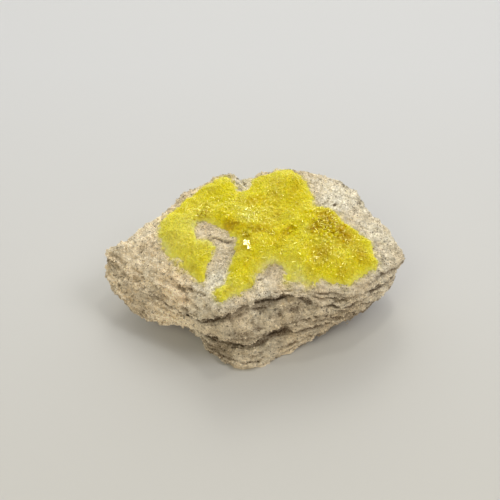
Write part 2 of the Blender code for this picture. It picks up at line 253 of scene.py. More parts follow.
def fan_faces(ring: Array, middle: int, turned: bool) -> Array:
    """Triangles from a closed ring of vertices to one in its middle, turned over if asked."""
    after = np.roll(ring, -1)
    centre = np.full(len(ring), middle)
    return np.stack([after, ring, centre] if turned else [ring, after, centre], axis=-1)


def pyramids(
    centre: Array, axis: Array, spin: Array, half: Array, short: Array, tall: Array, cut: Array
) -> tuple[Array, Array]:
    """Four-sided double pyramids with cut tips.

    Args:
        centre: middles, shape (n, 3).
        axis: unit vectors from middle to tip, shape (n, 3).
        spin: turn about the axis, shape (n,), like all that follow.
        half: half the waist's longer diagonal.
        short: the shorter diagonal against the longer.
        tall: half the length, uncut, against half the longer diagonal.
        cut: share of the way to the tip at which it is cut.

    Returns:
        The vertices, twelve for each, and faces of four.
    """
    side = np.stack([np.cos(spin), np.sin(spin), np.zeros(len(spin))], axis=-1)
    side -= (side * axis).sum(axis=1, keepdims=True) * axis
    side /= np.linalg.norm(side, axis=1, keepdims=True)
    other = np.cross(axis, side)
    corners = np.array([(1, 0), (0, 1), (-1, 0), (0, -1)], float)
    rings = []
    for level in (0, 1, -1):
        reach = half * (1 - cut * abs(level))
        a = reach[:, None, None] * corners[None, :, :1] * side[:, None, :]
        b = (reach * short)[:, None, None] * corners[None, :, 1:] * other[:, None, :]
        rise = (half * tall * cut * level)[:, None, None] * axis[:, None, :]
        rings.append(centre[:, None, :] + a + b + rise)
    points = np.concatenate(rings, axis=1).reshape(-1, 3)
    i, j = np.arange(4), (np.arange(4) + 1) % 4
    form = np.vstack([np.stack([i, j, j + 4, i + 4], axis=-1), np.stack([i + 8, j + 8, j, i], axis=-1),
                      [[4, 5, 6, 7], [11, 10, 9, 8]]])
    return points, (form + 12 * np.arange(len(spin))[:, None, None]).reshape(-1, 4)


# ---- Rock ----------------------------------------------------------------------------------------


@dataclass
class MatrixRock:
    """The bedded rock: a loft of outlines round the Z axis, roughened and broken along its beds.

    Each outline runs anticlockwise as (x, y, z). A bump or a ledge is (x, y, radius, size).
    """

    rim: Points = (  # where the top turns over into the broken sides
        (45.5, -0.5, 18), (43, 4, 19.5), (40, 9, 21), (34, 16.5, 22.5), (32, 22.5, 23), (22.5, 28, 24.5),
        (15.5, 29.6, 25), (9.5, 30.5, 25), (3.5, 29.3, 25), (-0.5, 26.2, 25), (-4.5, 25, 25),
        (-7, 27.6, 24.8), (-10.5, 29, 24.5), (-15.5, 26.2, 24), (-22.5, 19, 23.5), (-31, 10, 22),
        (-38, 4, 20), (-45.6, 1, 18), (-37.6, -3.6, 18.6), (-30.4, -8, 19), (-24.6, -11.6, 19.3),
        (-19.8, -14.8, 19.5), (-16, -18.2, 20), (-13.6, -22.4, 20.1), (-11.8, -25.6, 20.2),
        (-9.2, -27.2, 20.4), (-6.2, -25.6, 20.8), (-1.5, -22.2, 21.4), (7.5, -19, 22), (16, -18.6, 21.5),
        (26.5, -17.6, 21), (32.5, -14.6, 20.4), (37.6, -10.8, 20), (42, -6, 18.8),
    )
    upper_parting: Points = (  # the open crack under the top bed, arched over the front
        (44.8, -0.5, 15.5), (43, 5, 16), (39.5, 10, 17), (33.5, 18, 18), (31.5, 23.5, 18.5),
        (22, 28.8, 19.5), (14, 30, 20), (9, 30.5, 20.2), (2.5, 28.8, 20), (-8, 27.2, 19.5),
        (-17, 25.5, 18.5), (-24.5, 19, 17.5), (-33, 11, 16), (-40, 5.5, 15), (-45.8, 0.5, 15),
        (-38, -9, 13.5), (-28, -15.5, 13), (-21.9, -19.9, 13), (-15.8, -23.6, 13.2), (-11.6, -25.4, 14.8),
        (-9, -26.1, 17.2), (-5.5, -24.6, 18.7), (-1.8, -22.9, 19.5), (3, -21.7, 20), (9.4, -20.4, 20.1),
        (14.7, -20.3, 19), (20.6, -20.2, 16.6), (26, -18.4, 14.8), (32, -15, 14), (38.5, -10.5, 14),
        (42.5, -5.5, 14.5),
    )
    belly: Points = (  # the middle beds at their fullest
        (44.4, 0.5, 13.5), (41.5, 8, 13.5), (35, 17.5, 13.5), (32, 23, 13.5), (22.5, 28.2, 13.5),
        (13, 29.8, 13.5), (2, 28.2, 13.5), (-9, 26.5, 13.5), (-18, 25, 13.5), (-26.5, 18.5, 13),
        (-35, 11, 13), (-42, 5, 13.5), (-46.2, -0.6, 13), (-44, -5.4, 11.4), (-39.5, -9.8, 10.5),
        (-30, -16.2, 10), (-20, -21, 10.6), (-14.5, -23.8, 10.4), (-9, -26.1, 11.3), (-2, -26, 12.4),
        (5, -24.7, 13.4), (12, -23, 13.8), (18, -21.4, 13.3), (25, -18.6, 12), (33, -14.4, 11.5),
        (39, -9.8, 11.5), (42.6, -4.6, 13),
    )
    lower_parting: Points = (  # the second open crack, and the lower edge of the overhanging ends
        (44, 1, 12.5), (41, 8.5, 10.5), (34, 17.5, 9.5), (31, 22.5, 9), (22, 27.8, 8.5), (13, 29.5, 8),
        (2, 27.5, 8), (-9, 25.5, 8), (-18, 23.5, 8.5), (-26, 17, 9), (-34, 10, 10), (-41.5, 4, 11.5),
        (-46, -2.2, 11.2), (-43.4, -6.6, 8.4), (-38.4, -12.2, 7.2), (-32.8, -16.6, 6.4),
        (-27.4, -18, 7.6), (-22.4, -20, 8.4), (-18.8, -21.4, 8.2), (-15.6, -22.8, 7), (-11.5, -24.4, 5.9),
        (-8.6, -25.5, 5.1), (-3.5, -25.7, 5), (1, -25, 5.6), (4, -24.2, 7.2), (10, -23.3, 8.2),
        (18, -21.5, 8.2), (22, -19.6, 8.4), (32.5, -14.6, 8.2), (38.6, -10.2, 8.6), (42.6, -4.4, 12),
    )
    foot: Points = (  # the bottom bed: a wedge to the front, drawn in under the other sides
        (33, -6, 5.5), (30, 6, 4.5), (26, 17, 4), (12, 25, 3.5), (-5, 24, 3.5), (-19, 18, 4),
        (-27, 8, 4.5), (-29, -4, 5), (-22.5, -9, 4.6), (-17.8, -15.6, 4), (-16.4, -22, 3.6),
        (-14.2, -25.5, 2), (-10.5, -28, 1.5), (-3.2, -30.9, 1.4), (1.9, -29.9, 1.5), (6.2, -27.2, 1.6),
        (12.4, -24, 2.2), (19, -19.8, 3.4), (25.2, -16.6, 4.4), (30, -13.6, 5),
    )
    base: Points = (  # the flat parting plane that it rests on
        (24, -3, 0), (23, 9, 0), (16, 18, 0), (4, 21.5, 0), (-9, 19.5, 0), (-18, 13, 0), (-21, 1, 0),
        (-17.6, -8, 0), (-15, -15, 0), (-14.6, -23.6, 0), (-9, -28, 0), (-3, -30.5, 0), (2, -29.5, 0),
        (6.2, -26.6, 0), (12.4, -22.8, 0), (20, -15, 0),
    )
    crown: float = 26.0  # height of the middle of the top
    dome: float = 2.2  # how late the top turns down towards its rim
    crack_depth: float = 1.0
    crack_opening: float = 0.28  # half its height, as a share of its depth
    sill_setback: float = 0.2
    sill_share: float = 0.4  # how much further back it lies where a crack is deeper
    upper_openings: Bumps = ((0, -22.5, 11, 1.7), (11.5, -20.5, 5, 0.7), (-14, -24, 3.5, 0.5))
    lower_openings: Bumps = ((11, -23, 3.6, 2.2), (-6, -25.5, 8, 1.1), (20, -20.5, 6, 0.9))
    top_bed_ledges: Bumps = (
        (-27, -13, 9, 1.5), (-38, -5, 5, 0.8), (-16, -21.5, 5, 0.8), (27, -17.5, 9, 1.1), (39, 8, 7, 0.8),
        (8, 30, 12, 0.9),
    )
    lower_bed_ledges: Bumps = (
        (-4, -26, 9, 0.9), (20, -20.5, 8, 0.8), (-32, -16, 8, 0.7), (-14, 25, 12, 0.9), (33, 17, 8, 0.8),
    )
    ledge_drop: float = 0.14
    ledge_bulge: float = 0.35  # how far a bed swells out at its lip
    ledge_shares: tuple[float, float] = (0.3, 0.7)  # of a ledge, how much is lip and how much set back
    overhang_reach: float = 1.6
    relief: Bumps = (  # hollows and swellings of the top
        (-11, -5, 7, -1.6), (-9.5, -14, 5, -1), (5.5, -14.5, 5, -0.9), (27, 17, 10, 0.9), (9, 20, 9, 0.8),
        (-24, 2, 9, 1.2), (-36, -2, 7, -0.9), (20, -3, 12, 0.6),
    )
    lump_sizes: Layers = ((9, 0.55, 11), (4.2, 0.32, 21))

    crack_floors: tuple[int, int] = (4, 11)  # their places among the side rows
    crack_darkest: float = 0.3  # how many rows below its floor a crack's painted shade is darkest
    crack_spread: float = 1.25  # how many rows further it fades to nothing
    columns: int = 640
    top_rows: int = 62
    first_share: float = 0.02  # of the rim's distance, where the first row lies
    side_step: float = 0.46  # between rows down the sides
    bed_pitch: float = 1.9  # thickness of the thin beds that the sides are broken into
    bed_depth: float = 2.2  # how far one stands out over the next
    bed_waves: Layers = ((13, 0.9, 41), (3, 0.25, 42))
    bed_leans: Layers = ((9, 1, 43), (2.6, 0.5, 44))
    clean_face: Bumps = ((4, -24, 12, 1),)  # where the middle bed broke off cleanly
    wander: Layers = ((3.4, 0.5, 58), (1.4, 0.28, 59))
    grain_sizes: Layers = ((3, 0.3, 61), (1.4, 0.34, 64), (0.8, 0.24, 67))
    roughness: tuple[float, float] = (0.85, 0.6)  # of the middle of the top, and what the sides add to it
    pit_cells: Layers = ((3, 0.62, 71), (1.8, 0.42, 81), (1.3, 0.34, 86))  # (spacing, radius, seed)
    single_pits: Points = (  # the larger open pits, (x, y, z, radius)
        (24.9, 14, 25.2, 0.75), (32.5, 16.9, 22.7, 0.7), (31.1, 13, 23.4, 0.55), (28.3, 24, 23.9, 0.5),
        (33.6, 12.5, 22.6, 0.4), (35.2, 11.6, 22.2, 0.5), (34.2, -13.7, 10.4, 0.8), (-3, 23.8, 24.9, 0.6),
        (-34.7, -1.8, 20.2, 0.55), (9.4, -23.8, 9.4, 1.1), (-41, -7.3, 11.5, 0.6),
    )
    crack_lines: tuple[tuple[float, float, float, Points], ...] = (  # half width, depth, overhang, line
        (1, 2.8, 0.6, ((4.9, -24.4, 9.6), (7.5, -23.8, 9), (9.6, -23.4, 9))),
        (0.5, 1.5, 0.5, ((-15.2, -22.6, 6), (-13.4, -23, 5.8), (-10.1, -24.2, 5.2), (-6.8, -25, 4.8),
            (-3.5, -25.4, 4.8), (0.7, -24.9, 5.8), (3.3, -24.6, 8), (4.5, -24.5, 9.2))),
        (0.5, 1.4, 0.5, ((9.6, -23.4, 9), (12.9, -22.4, 7.6), (15.9, -21.8, 7.8), (18.7, -20.9, 7.4))),
        (0.75, 2.2, 0.9, ((-10, -25.9, 20.4), (-4, -24.6, 20.5), (0.6, -22.2, 20.1), (5.3, -20.9, 20.4),
            (8.5, -20.1, 20.5), (11.4, -20.4, 20.4), (14.7, -20.1, 19.1), (17.9, -20.8, 17.8))),
        (0.4, 1.1, 0.5, ((17.9, -20.8, 17.8), (21.7, -19.3, 15.3), (26, -18, 14.6))),
        (0.5, 1.4, 0.5, ((-15.2, -23.8, 14), (-13.1, -24.7, 15.1), (-11, -25.5, 16.8), (-7.4, -26, 18.4),
            (-4, -24.6, 18.2), (-0.2, -22.8, 17.4), (3.3, -21.7, 17.5), (5, -21, 18.2))),
        (0.35, 0.8, 0.4, ((-4.6, -26.5, 8.9), (-0.8, -26.2, 10), (3.3, -24.8, 9.6))),
        (0.3, 0.7, 0.3, ((7.7, -24.3, 12.8), (12.1, -23.5, 12.8), (16.1, -22.4, 13.1),
            (19, -21.5, 13.7))),
        (0.4, 1, 0.6, ((-27.7, -11.2, 18.5), (-24.9, -12, 19.4), (-23.9, -13.1, 19.3),
            (-22.2, -14.4, 18.6), (-19.4, -15.7, 19), (-16.3, -18, 20.4), (-14.2, -19.9, 20.4))),
        (0.4, 1, 0.6, ((-30.2, -13.7, 13.5), (-27.8, -15, 12.9), (-25.3, -15.6, 13.3),
            (-22.4, -17.6, 16.4), (-20.3, -18, 17), (-19.6, -19.5, 17.8))),
        (0.35, 0.8, 0.5, ((-23.5, -19.2, 10.8), (-20.3, -20.3, 13.2), (-17.3, -21.8, 14.6))),
        (0.35, 0.8, 0.5, ((-36.5, -7.6, 17.6), (-32, -10.6, 16.6), (-27, -14.6, 16.2), (-23, -17, 14.6),
            (-19.5, -20.6, 14.6))),
        (0.4, 0.9, 0.5, ((-12.5, -0.2, 24.6), (-10.4, -0.7, 24.7), (-8.6, -1.7, 24.8),
            (-6.5, -2.8, 25.1))),
        (0.3, 0.7, 0.2, ((0.4, -17.1, 23.6), (2.1, -14.8, 23.3), (3.9, -13.3, 23.5), (5.2, -11, 24.6))),
        (0.35, 0.8, 0.6, ((19.3, -21.1, 11.9), (23.9, -19.1, 11.4), (28.5, -17.4, 11.7),
            (33.2, -14.6, 11.4))),
        (0.5, 1.1, 0.7, ((22.1, -19.1, 17), (26.7, -17.6, 16.4), (31.1, -15.9, 17), (36.1, -11.9, 15.4),
            (40.3, -8.7, 14.8), (43.5, -4.6, 15.6))),
    )
    side_relief: Points = (  # hollows, with painted shade, and swellings, with less of it, (x, y, z, radius, rise)
        (-11.5, -26, 3, 4.5, -1.3), (-1, -30, 4, 5, 0.7), (8, -27, 4, 4, 0.4), (-34, -13, 9, 6, -0.6),
        (-24, -19, 8, 6, 0.6), (30, -15, 15.5, 5, 0.5), (12, -19.5, 21, 4, 0.5),
        (-2, -22.5, 20.4, 3, 0.6), (8.9, -24.4, 10.9, 1.8, -1.5), (5.6, -23.2, 8.4, 2, -0.7),
        (2.2, -28.6, 3, 2, -0.5), (14.9, -22.4, 1.6, 2.5, -0.5),
    )
    ridge_size: tuple[float, float] = (0.5, 0.8)  # height and half width of the ridge down the left end
    ridge_line: Points = (
        (-30.9, -12.3, 14.4), (-30.4, -14.1, 12), (-30.7, -15.6, 9.7), (-30.4, -17.2, 7.5),
    )
    pale_spots: Bumps = (
        (28, 19, 12, 1), (39, 4, 8, 0.8), (-9.5, -14.5, 6, 0.7), (2, -20, 6, 0.3), (-14, -19, 6, 0.5),
        (-33, 6, 9, 0.3), (-3, 24, 5, 0.9), (38, -10, 7, 0.6),
    )
    stain_at: tuple[float, float, float, float] = (-21.4, -17.8, 16.6, 1.5)  # (x, y, z, radius)
    light_spots: Bumps = ((-22, -17, 9, 0.2), (4.5, -21.6, 3, -0.2), (-6.6, -26.2, 2.5, -0.15))
    gap_shade: float = 0.62  # tone of the rock between its crumbs, more where it is pale
    left_end: tuple[float, float] = (14, 28)  # how far left the crumbly end sets in, and is in full
    sunk_painted_shade: tuple[float, float, float] = (0.75, 0.12, 0.7)  # painted shade per millimetre set back, less this, at most
    bed_painted_shade: float = 0.7  # painted shade under a thin bed
    crack_painted_shade: float = 1.4  # painted shade in an open crack
    underside_painted_shade: float = 0.8  # painted shade where the rock faces down
    relief_painted_shade: float = 0.5  # painted shade per millimetre of a hollow of the sides
    pit_depth: float = 0.6  # depth of a pit at which its painted shade is full
    left_painted_shade_cut: tuple[float, float] = (0.65, 0.9)  # how much of the beds' and the underside's painted shade is taken away at the left end

    def drawn_in(self, row: Array, depth: Array | float) -> Array:
        """A row moved towards the Z axis by a depth."""
        reach = np.hypot(row[:, 0], row[:, 1])
        inner = row.copy()
        inner[:, :2] *= ((reach - depth) / reach)[:, None]
        return inner

    def between(self, first: Array, second: Array, share: float, bulge: Array | float = 0.0) -> Array:
        """A row between two others, pushed out by bulge."""
        return self.drawn_in(first * (1 - share) + second * share, -bulge)

    def parting(self, row: Array, openings: Bumps, seed: int) -> list[Array]:
        """The upper lip, the floor and the lower lip of a crack that runs along a row."""
        width = self.lump_sizes[0][0]
        depth = self.crack_depth * (1 + 0.5 * noise(row, width, seed))
        depth += bumps_at(row, openings)
        setback = self.sill_setback + self.sill_share * bumps_at(row, openings)
        upper, floor, lower = row.copy(), self.drawn_in(row, depth + 0.5), self.drawn_in(row, setback)
        upper[:, 2] += self.crack_opening * depth
        lower[:, 2] -= self.crack_opening * depth
        return [upper, floor, lower]

    def ledge(self, first: Array, second: Array, share: float, ledges: Bumps) -> list[Array]:
        """The lip of a ledge between two rows, and the bed set back just below it."""
        depth = bumps_at(first, ledges)
        out, back = self.ledge_shares
        lip = self.between(first, second, share, bulge=self.ledge_bulge + out * depth)
        drop = share + self.ledge_drop
        return [lip, self.between(first, second, drop, bulge=self.ledge_bulge - back * depth)]

    def top_at(self, rim: Array, share: Array) -> Array:
        """Points of the domed top, at shares of the rim's distance from the Z axis.

        The height falls from the crown to the rim as the share to the power dome, with the relief's
        bumps added where the share is well under 1.
        """
        points = rim.copy()
        points[..., :2] *= share[..., None]
        points[..., 2] = self.crown + (rim[..., 2] - self.crown) * share**self.dome
        points[..., 2] += bumps_at(points, self.relief) * (1 - np.minimum(share, 1) ** 6)
        return points

    def lumps(self, points: Array) -> Array:
        """How far the rock's lumps shift each point along each axis."""
        shift = np.zeros(points.shape)
        for width, size, seed in self.lump_sizes:
            for axis in range(3):
                shift[..., axis] += size * noise(points, width, seed + axis)
        return shift

    def top_height(self, plan: Array) -> tuple[Array, Array]:
        """Height of the lumpy top over points of the plan.

        The lumps also move points sideways, so the place that they move onto each point is found by
        trying again three times, each time from where the last try fell short.

        Args:
            plan: points (x, y), shape (n, 2).

        Returns:
            Heights, and each point's share of the rim's distance from the Z axis.
        """
        start = plan.copy()
        for _ in range(3):
            rim = outline_at(self.rim, np.arctan2(start[:, 1], start[:, 0]))
            share = length(start) / length(rim[:, :2])
            points = self.top_at(rim, share)
            shift = self.lumps(points)
            start = plan - shift[:, :2]
        return points[:, 2] + shift[:, 2], share

    def even_angles(self) -> Array:
        """Angles that are an even distance apart along the rim."""
        dense = np.linspace(0.0, 2 * math.pi, 20 * self.columns + 1)
        run = outline_at(self.rim, dense)
        travel = np.concatenate([[0.0], np.cumsum(length(np.diff(run, axis=0)))])
        even = np.arange(self.columns) / self.columns * travel[-1]
        return np.interp(even, travel, dense)

    def side_rows(self, angles: Array) -> list[Array]:
        """The rows that shape the sides, from the rim down to the base."""
        outlines = (self.rim, self.upper_parting, self.belly, self.lower_parting, self.foot, self.base)
        rim, upper, belly, lower, foot, base = (outline_at(line, angles) for line in outlines)
        upper_lip, upper_floor, upper_sill = self.parting(upper, self.upper_openings, 3)
        lower_lip, lower_floor, lower_sill = self.parting(lower, self.lower_openings, 5)
        rows = [rim, *self.ledge(rim, upper_lip, share=0.42, ledges=self.top_bed_ledges)]
        rows += [upper_lip, upper_floor, upper_sill]
        rows += [self.between(upper_sill, belly, share=0.5, bulge=0.3), belly]
        rows += self.ledge(belly, lower_lip, share=0.5, ledges=self.lower_bed_ledges)
        rows += [lower_lip, lower_floor, lower_sill]
        return rows + [self.between(lower_sill, foot, share=0.5), foot, base]

    def surface(self) -> tuple[Array, Array, Array]:
        """The loft as a grid of points, before it is roughened.

        Rows run from the middle of the top out to the rim and down the sides, where straight lines
        join the side rows and are cut into even steps.

        Returns:
            Points of shape (rows, columns, 3). How far below the rim each row lies, measured along the
            surface, negative on the top. How deep in an open crack each row lies, 0 outside them.
        """
        angles = self.even_angles()
        rim = outline_at(self.rim, angles)
        shares = np.linspace(self.first_share, 1.0, self.top_rows, endpoint=False)
        top = [self.top_at(rim, np.full(self.columns, share)) for share in shares]
        reach = length(rim[:, :2]).mean()
        rows, below = list(top), [-(1 - share) * reach for share in shares]
        deep = [0.0] * len(rows)
        depth = 0.0
        sides = self.side_rows(angles)
        for number, (first, second) in enumerate(zip(sides, sides[1:])):
            gap = float(length(second - first).mean())
            steps = max(1, round(gap / self.side_step))
            for step in range(steps):
                rows.append(first + (second - first) * step / steps)
                below.append(depth + gap * step / steps)
                into = number + step / steps - self.crack_darkest
                near = (self.crack_spread - abs(into - floor) for floor in self.crack_floors)
                deep.append(max(0.0, *near))
            depth += gap
        return np.array(rows + [sides[-1]]), np.array(below + [depth]), np.array(deep + [0.0])

    def normals(self, grid: Array) -> Array:
        """Outward unit normals of a grid: the slope along a column crossed with that along a row."""
        down = np.gradient(grid, axis=0)
        along = np.roll(grid, -1, axis=1) - np.roll(grid, 1, axis=1)
        normal = np.cross(down, along)
        return normal / np.maximum(np.linalg.norm(normal, axis=-1, keepdims=True), 1e-9)

    def thin_beds(self, points: Array, below: Array) -> tuple[Array, Array]:
        """How far the thin beds stand out of the sides.

        Down the side, each bed runs from one side of its mean depth to the other in a straight slope
        and ends in a step. Which way and how far differs from bed to bed and along each bed.

        Args:
            points: the grid, shape (rows, columns, 3).
            below: distance of each row below the rim.

        Returns:
            Distances along the normal, and how much each point hides under the bed above it, from 0
            to 1, both of shape (rows, columns).
        """
        level = np.broadcast_to(below[:, None], points.shape[:2])
        run = np.stack([points[..., 0], points[..., 1], level], axis=-1)
        phase = layered(run, self.bed_waves, level / self.bed_pitch)
        bed = np.floor(phase)
        along = np.stack([points[..., 0], points[..., 1], bed * 23.0], axis=-1)  # far apart for each bed
        lean = layered(along, self.bed_leans)
        lean *= (1 - 0.6 * bumps_at(points, self.clean_face)) * smooth(level, 0.3, 2.0)
        share = phase - bed
        return self.bed_depth * lean * (share - 0.5), np.clip(2.0 * lean * (1 - 3 * share), 0.0, 1.0)

    def pits(self, points: Array) -> Array:
        """Depth of the open pits: a round bowl about each scattered seed and each single pit."""
        depth = np.zeros(points.shape[:-1])
        for cell, radius, seed in self.pit_cells:
            distance, size = nearest_seed(points * (1.0, 1.0, 1.4), cell, seed)
            reach = radius * np.clip(2.0 * size - 1.0, 0.0, 1.0) + 1e-6
            depth = np.maximum(depth, 0.9 * reach * np.clip(1 - (distance / reach) ** 2, 0, None))
        for x, y, z, radius in self.single_pits:
            distance = length(points - (x, y, z)) / radius
            depth = np.maximum(depth, 1.3 * radius * np.clip(1 - distance**2, 0, None))
        return depth

    def fine_cracks(self, points: Array) -> tuple[Array, Array]:
        """The fine cracks, frayed by noise.

        Each is a V along its line. The rock above it stands out and the rock below it is set back, both
        falling away exponentially over the overhang's reach.

        Args:
            points: places, shape (rows, columns, 3).

        Returns:
            Depth of the V, and how far the rock stands out, both of shape (rows, columns).
        """
        spots = points.reshape(-1, 3)
        fray = [layered(spots, ((2.5, 0.4, seed), (1, 0.25, seed + 3))) for seed in (91, 92, 93)]
        frayed = spots + np.stack(fray, axis=-1)
        depth, lip = np.zeros(len(spots)), np.zeros(len(spots))
        for half_width, size, overhang, line in self.crack_lines:
            corners = np.array(line)
            distance = distance_to_line(frayed, line)
            depth = np.maximum(depth, size * np.clip(1.25 - distance / half_width, 0, 1))
            level = np.interp(frayed[:, 0], corners[:, 0], corners[:, 2])
            above = np.clip((frayed[:, 2] - level) / half_width, -1, 1)
            lip += overhang * above * np.exp(-distance / self.overhang_reach)
        return depth.reshape(points.shape[:-1]), lip.reshape(points.shape[:-1])

    def left_share(self, points: Array) -> Array:
        """How far each point is into the crumbly left end, from 0 to 1."""
        return smooth(-points[..., 0], *self.left_end)

    def rough_share(self, points: Array, below: Array) -> Array:
        """How rough the rock is against its middle: rougher down its sides and at its left end."""
        side = smooth(below, -3.0, 1.0)[:, None]
        return self.roughness[0] + self.roughness[1] * np.maximum(side, self.left_share(points))

    def roughened(self, grid: Array, below: Array, deep: Array) -> tuple[Array, Array]:
        """The loft with its lumps, thin beds, grain, pits and cracks.

        Args:
            grid: the smooth loft, shape (rows, columns, 3).
            below: distance of each row below the rim.
            deep: how deep in an open crack each row lies, 0 outside them.

        Returns:
            The finished points, and each one's painted shade, from 0 to 1, for its pits, cracks and
            recesses.
        """
        shift = self.lumps(grid)
        shift[..., 2] += layered(grid, self.wander) * smooth(below, 0.0, 2.0)[:, None]
        shift[-1, :, 2] = 0.0
        points = grid + shift
        normal = self.normals(points)
        grain = layered(points, self.grain_sizes) * self.rough_share(points, below)
        pits = self.pits(points)
        cracks, lip = self.fine_cracks(points)
        relief = bumps_at(points, self.side_relief)
        height, width = self.ridge_size
        distance = distance_to_line(points.reshape(-1, 3), self.ridge_line).reshape(grain.shape)
        ridge = height * np.exp(-((distance / width) ** 2))
        beds, under = self.thin_beds(points, below)
        out = grain + beds + lip + relief + ridge - pits - cracks
        out[-1] = 0.0
        points = points + normal * out[..., None]
        points[..., 2] = np.maximum(points[..., 2], 0.0)
        # painted shade: darker where the rock is set back, under thin beds, in open cracks and where it
        # faces down, less at the left end and on swellings, plus the pits and fine cracks
        slope, least, most = self.sunk_painted_shade
        shade = np.clip(-slope * (grain + beds) - least, 0.0, most)
        shade = shade + self.bed_painted_shade * under + self.crack_painted_shade * deep[:, None]
        light, light_under = (1 - share * self.left_share(points) for share in self.left_painted_shade_cut)
        shade = shade * light + self.underside_painted_shade * smooth(-normal[..., 2], 0.2, 0.7) * light_under
        shade -= self.relief_painted_shade * relief
        return points, np.clip(pits / self.pit_depth + cracks + shade, 0.0, 1.0)

    @cached_property
    def finished(self) -> tuple[Array, Array]:
        """The roughened grid and each point's painted shade, worked out once."""
        return self.roughened(*self.surface())

    def looks(
        self, points: Array, hollow: Array, shade: Array, crust: "SulfurCrust"
    ) -> dict[str, Array]:
        """The values that the rock's finish reads.

        Args:
            points: places, shape (n, 3).
            hollow: its painted shade, for pits, cracks and recesses.
            shade: each one's tone, from 0 for dark to 1 for light, to which the light spots are added.
            crust: the sulfur, which dusts the rock along its edge.

        Returns:
            The values by name.
        """
        near = np.full(len(points), -9.0)  # further outside the sulfur than its dust reaches
        above = points[:, 2] > crust.dust_floor
        near[above] = crust.margin(points[above, :2])
        width = crust.dust_reach * (1 + 4 * bumps_at(points, crust.patchy_spots))
        dust = np.exp(np.minimum(near, 0.0) / width) * (0.6 + 0.8 * noise(points, 0.9, 95))
        x, y, z, radius = self.stain_at
        reach = length((points - (x, y, z)) / (1.6, 1, 1)) / radius
        return {
            "hollow": hollow,
            "pale": np.clip(bumps_at(points, self.pale_spots), 0.0, 1.0),
            "stain": np.exp(-(reach**2)),
            "dust": np.clip(dust * smooth(near, -5.0, -3.0), 0.0, 1.0),
            "shade": shade + bumps_at(points, self.light_spots) + 0.14 * self.left_share(points),
        }

    def build(self, crust: "SulfurCrust") -> bpy.types.Object:
        """The rock's mesh: the roughened grid, closed by a fan on its top and on its base."""
        points, hollow = self.finished
        rows, columns = hollow.shape
        vertices = points.reshape(-1, 3)
        ring = np.arange(columns)
        faces = [
            grid_faces(rows, columns),
            fan_faces(ring, len(vertices), turned=False),
            fan_faces(ring + (rows - 1) * columns, len(vertices) + 1, turned=True),
        ]
        vertices = np.vstack([vertices, points[0].mean(axis=0), points[-1].mean(axis=0)])
        hollow = np.append(hollow.ravel(), [0.0, 0.0])
        values = self.looks(vertices, hollow, np.zeros(len(vertices)), crust)
        patchy = 0.2 * noise(vertices, 2.2, 97)
        values["shade"] += self.gap_shade + 0.15 * values["pale"] + patchy
        return mesh_piece("rock", vertices, faces, values)


@dataclass
class RockCrumbs:
    """Loose-looking grains all over the rock: eight-sided crumbs half sunk into its surface."""

    rock: MatrixRock
    count: int = 24000  # on one piece
    least: float = 0.17  # half width of the smallest
    spread: float = 0.3
    dark_share: float = 0.05
    lowest: float = 0.4  # height over the table under which there are none
    under_sulfur: float = 0.2  # how far they run in under the sulfur's edge
    sulfur_floor: float = 21.0  # the height under which no rock is hidden by the sulfur

    def build(self, crust: "SulfurCrust", seed: int) -> bpy.types.Object:
        """One piece of crumbs, scattered evenly over the rock outside the sulfur.

        Cells of the rock's grid are drawn by their area. A crumb has six corners, at random distances
        both ways along three square axes that are turned at random.

        Args:
            crust: the sulfur, which hides the rock under it.
            seed: of the random draws.

        Returns:
            The mesh object.
        """
        draw = np.random.default_rng(seed)
        points, hollow = self.rock.finished
        down, along = points[1:] - points[:-1], np.roll(points, -1, axis=1) - points
        area = length(np.cross(down, along[:-1]))
        area *= points[:-1, :, 2] > self.lowest
        edge = np.cumsum(area.ravel())
        cell = np.searchsorted(edge, draw.uniform(0, edge[-1], 2 * self.count))
        row, column = np.unravel_index(cell, area.shape)
        share = draw.uniform(size=(2, len(cell), 1))
        centre = points[row, column] + share[0] * down[row, column] + share[1] * along[row, column]
        bare = (crust.margin(centre[:, :2]) < self.under_sulfur) | (centre[:, 2] < self.sulfur_floor)
        centre, row, column = (block[bare][: self.count] for block in (centre, row, column))
        count = len(centre)
        turn = np.linalg.qr(draw.normal(size=(count, 3, 3)))[0]
        turn[:, 2] *= np.linalg.det(turn)[:, None]
        half = self.least + self.spread * draw.uniform(size=count) ** 3
        half *= 1 + 0.4 * noise(centre, 3.0, 98) + 0.3 * self.rock.left_share(centre)
        reach = half[:, None] * draw.uniform(0.6, 1.25, (count, 6))
        spokes = np.concatenate([turn, -turn], axis=1)
        vertices = (centre[:, None, :] + spokes * reach[:, :, None]).reshape(-1, 3)
        vertices[:, 2] = np.maximum(vertices[:, 2], 0.0)
        form = [(0, 1, 2), (1, 3, 2), (3, 4, 2), (4, 0, 2), (1, 0, 5), (3, 1, 5), (4, 3, 5), (0, 4, 5)]
        faces = (np.array(form) + 6 * np.arange(count)[:, None, None]).reshape(-1, 3)
        shade = 0.68 + 0.15 * draw.uniform(-1, 1, count) + 0.2 * noise(centre, 1.8, 99)
        shade = np.where(draw.uniform(size=count) < self.dark_share, 0.1, np.clip(shade, 0.2, 1.0))
        # the crumbs take on most of the painted shade of the rock under them
        looks = self.rock.looks(centre, 0.7 * hollow[row, column], shade, crust)
        return mesh_piece(f"rock_crumbs_{seed}", vertices, [faces], repeated(looks, 6))


# ---- Sulfur --------------------------------------------------------------------------------------


@dataclass(frozen=True)
class CrystalSizes:
    """The sizes of one kind of crystal."""

    pitch: float  # between neighbours
    half_width: float  # of the waist
    tall: float  # half the length, uncut, against half the width
    tilt: float  # how far it may lean, as a tangent
    rise: float  # of the waist over the crust, as a share of the half width


class Habit(Enum):
    """Kinds of crystal: the grains of the crust, flat blades that lie on it, and coarse crystals."""

    FINE = CrystalSizes(0.5, 0.31, 0.8, 0.3, 0.1)
    LYING = CrystalSizes(0.9, 0.2, 3.6, 0.15, 3.0)
    COARSE = CrystalSizes(1.2, 0.72, 1.4, 0.8, 0.4)


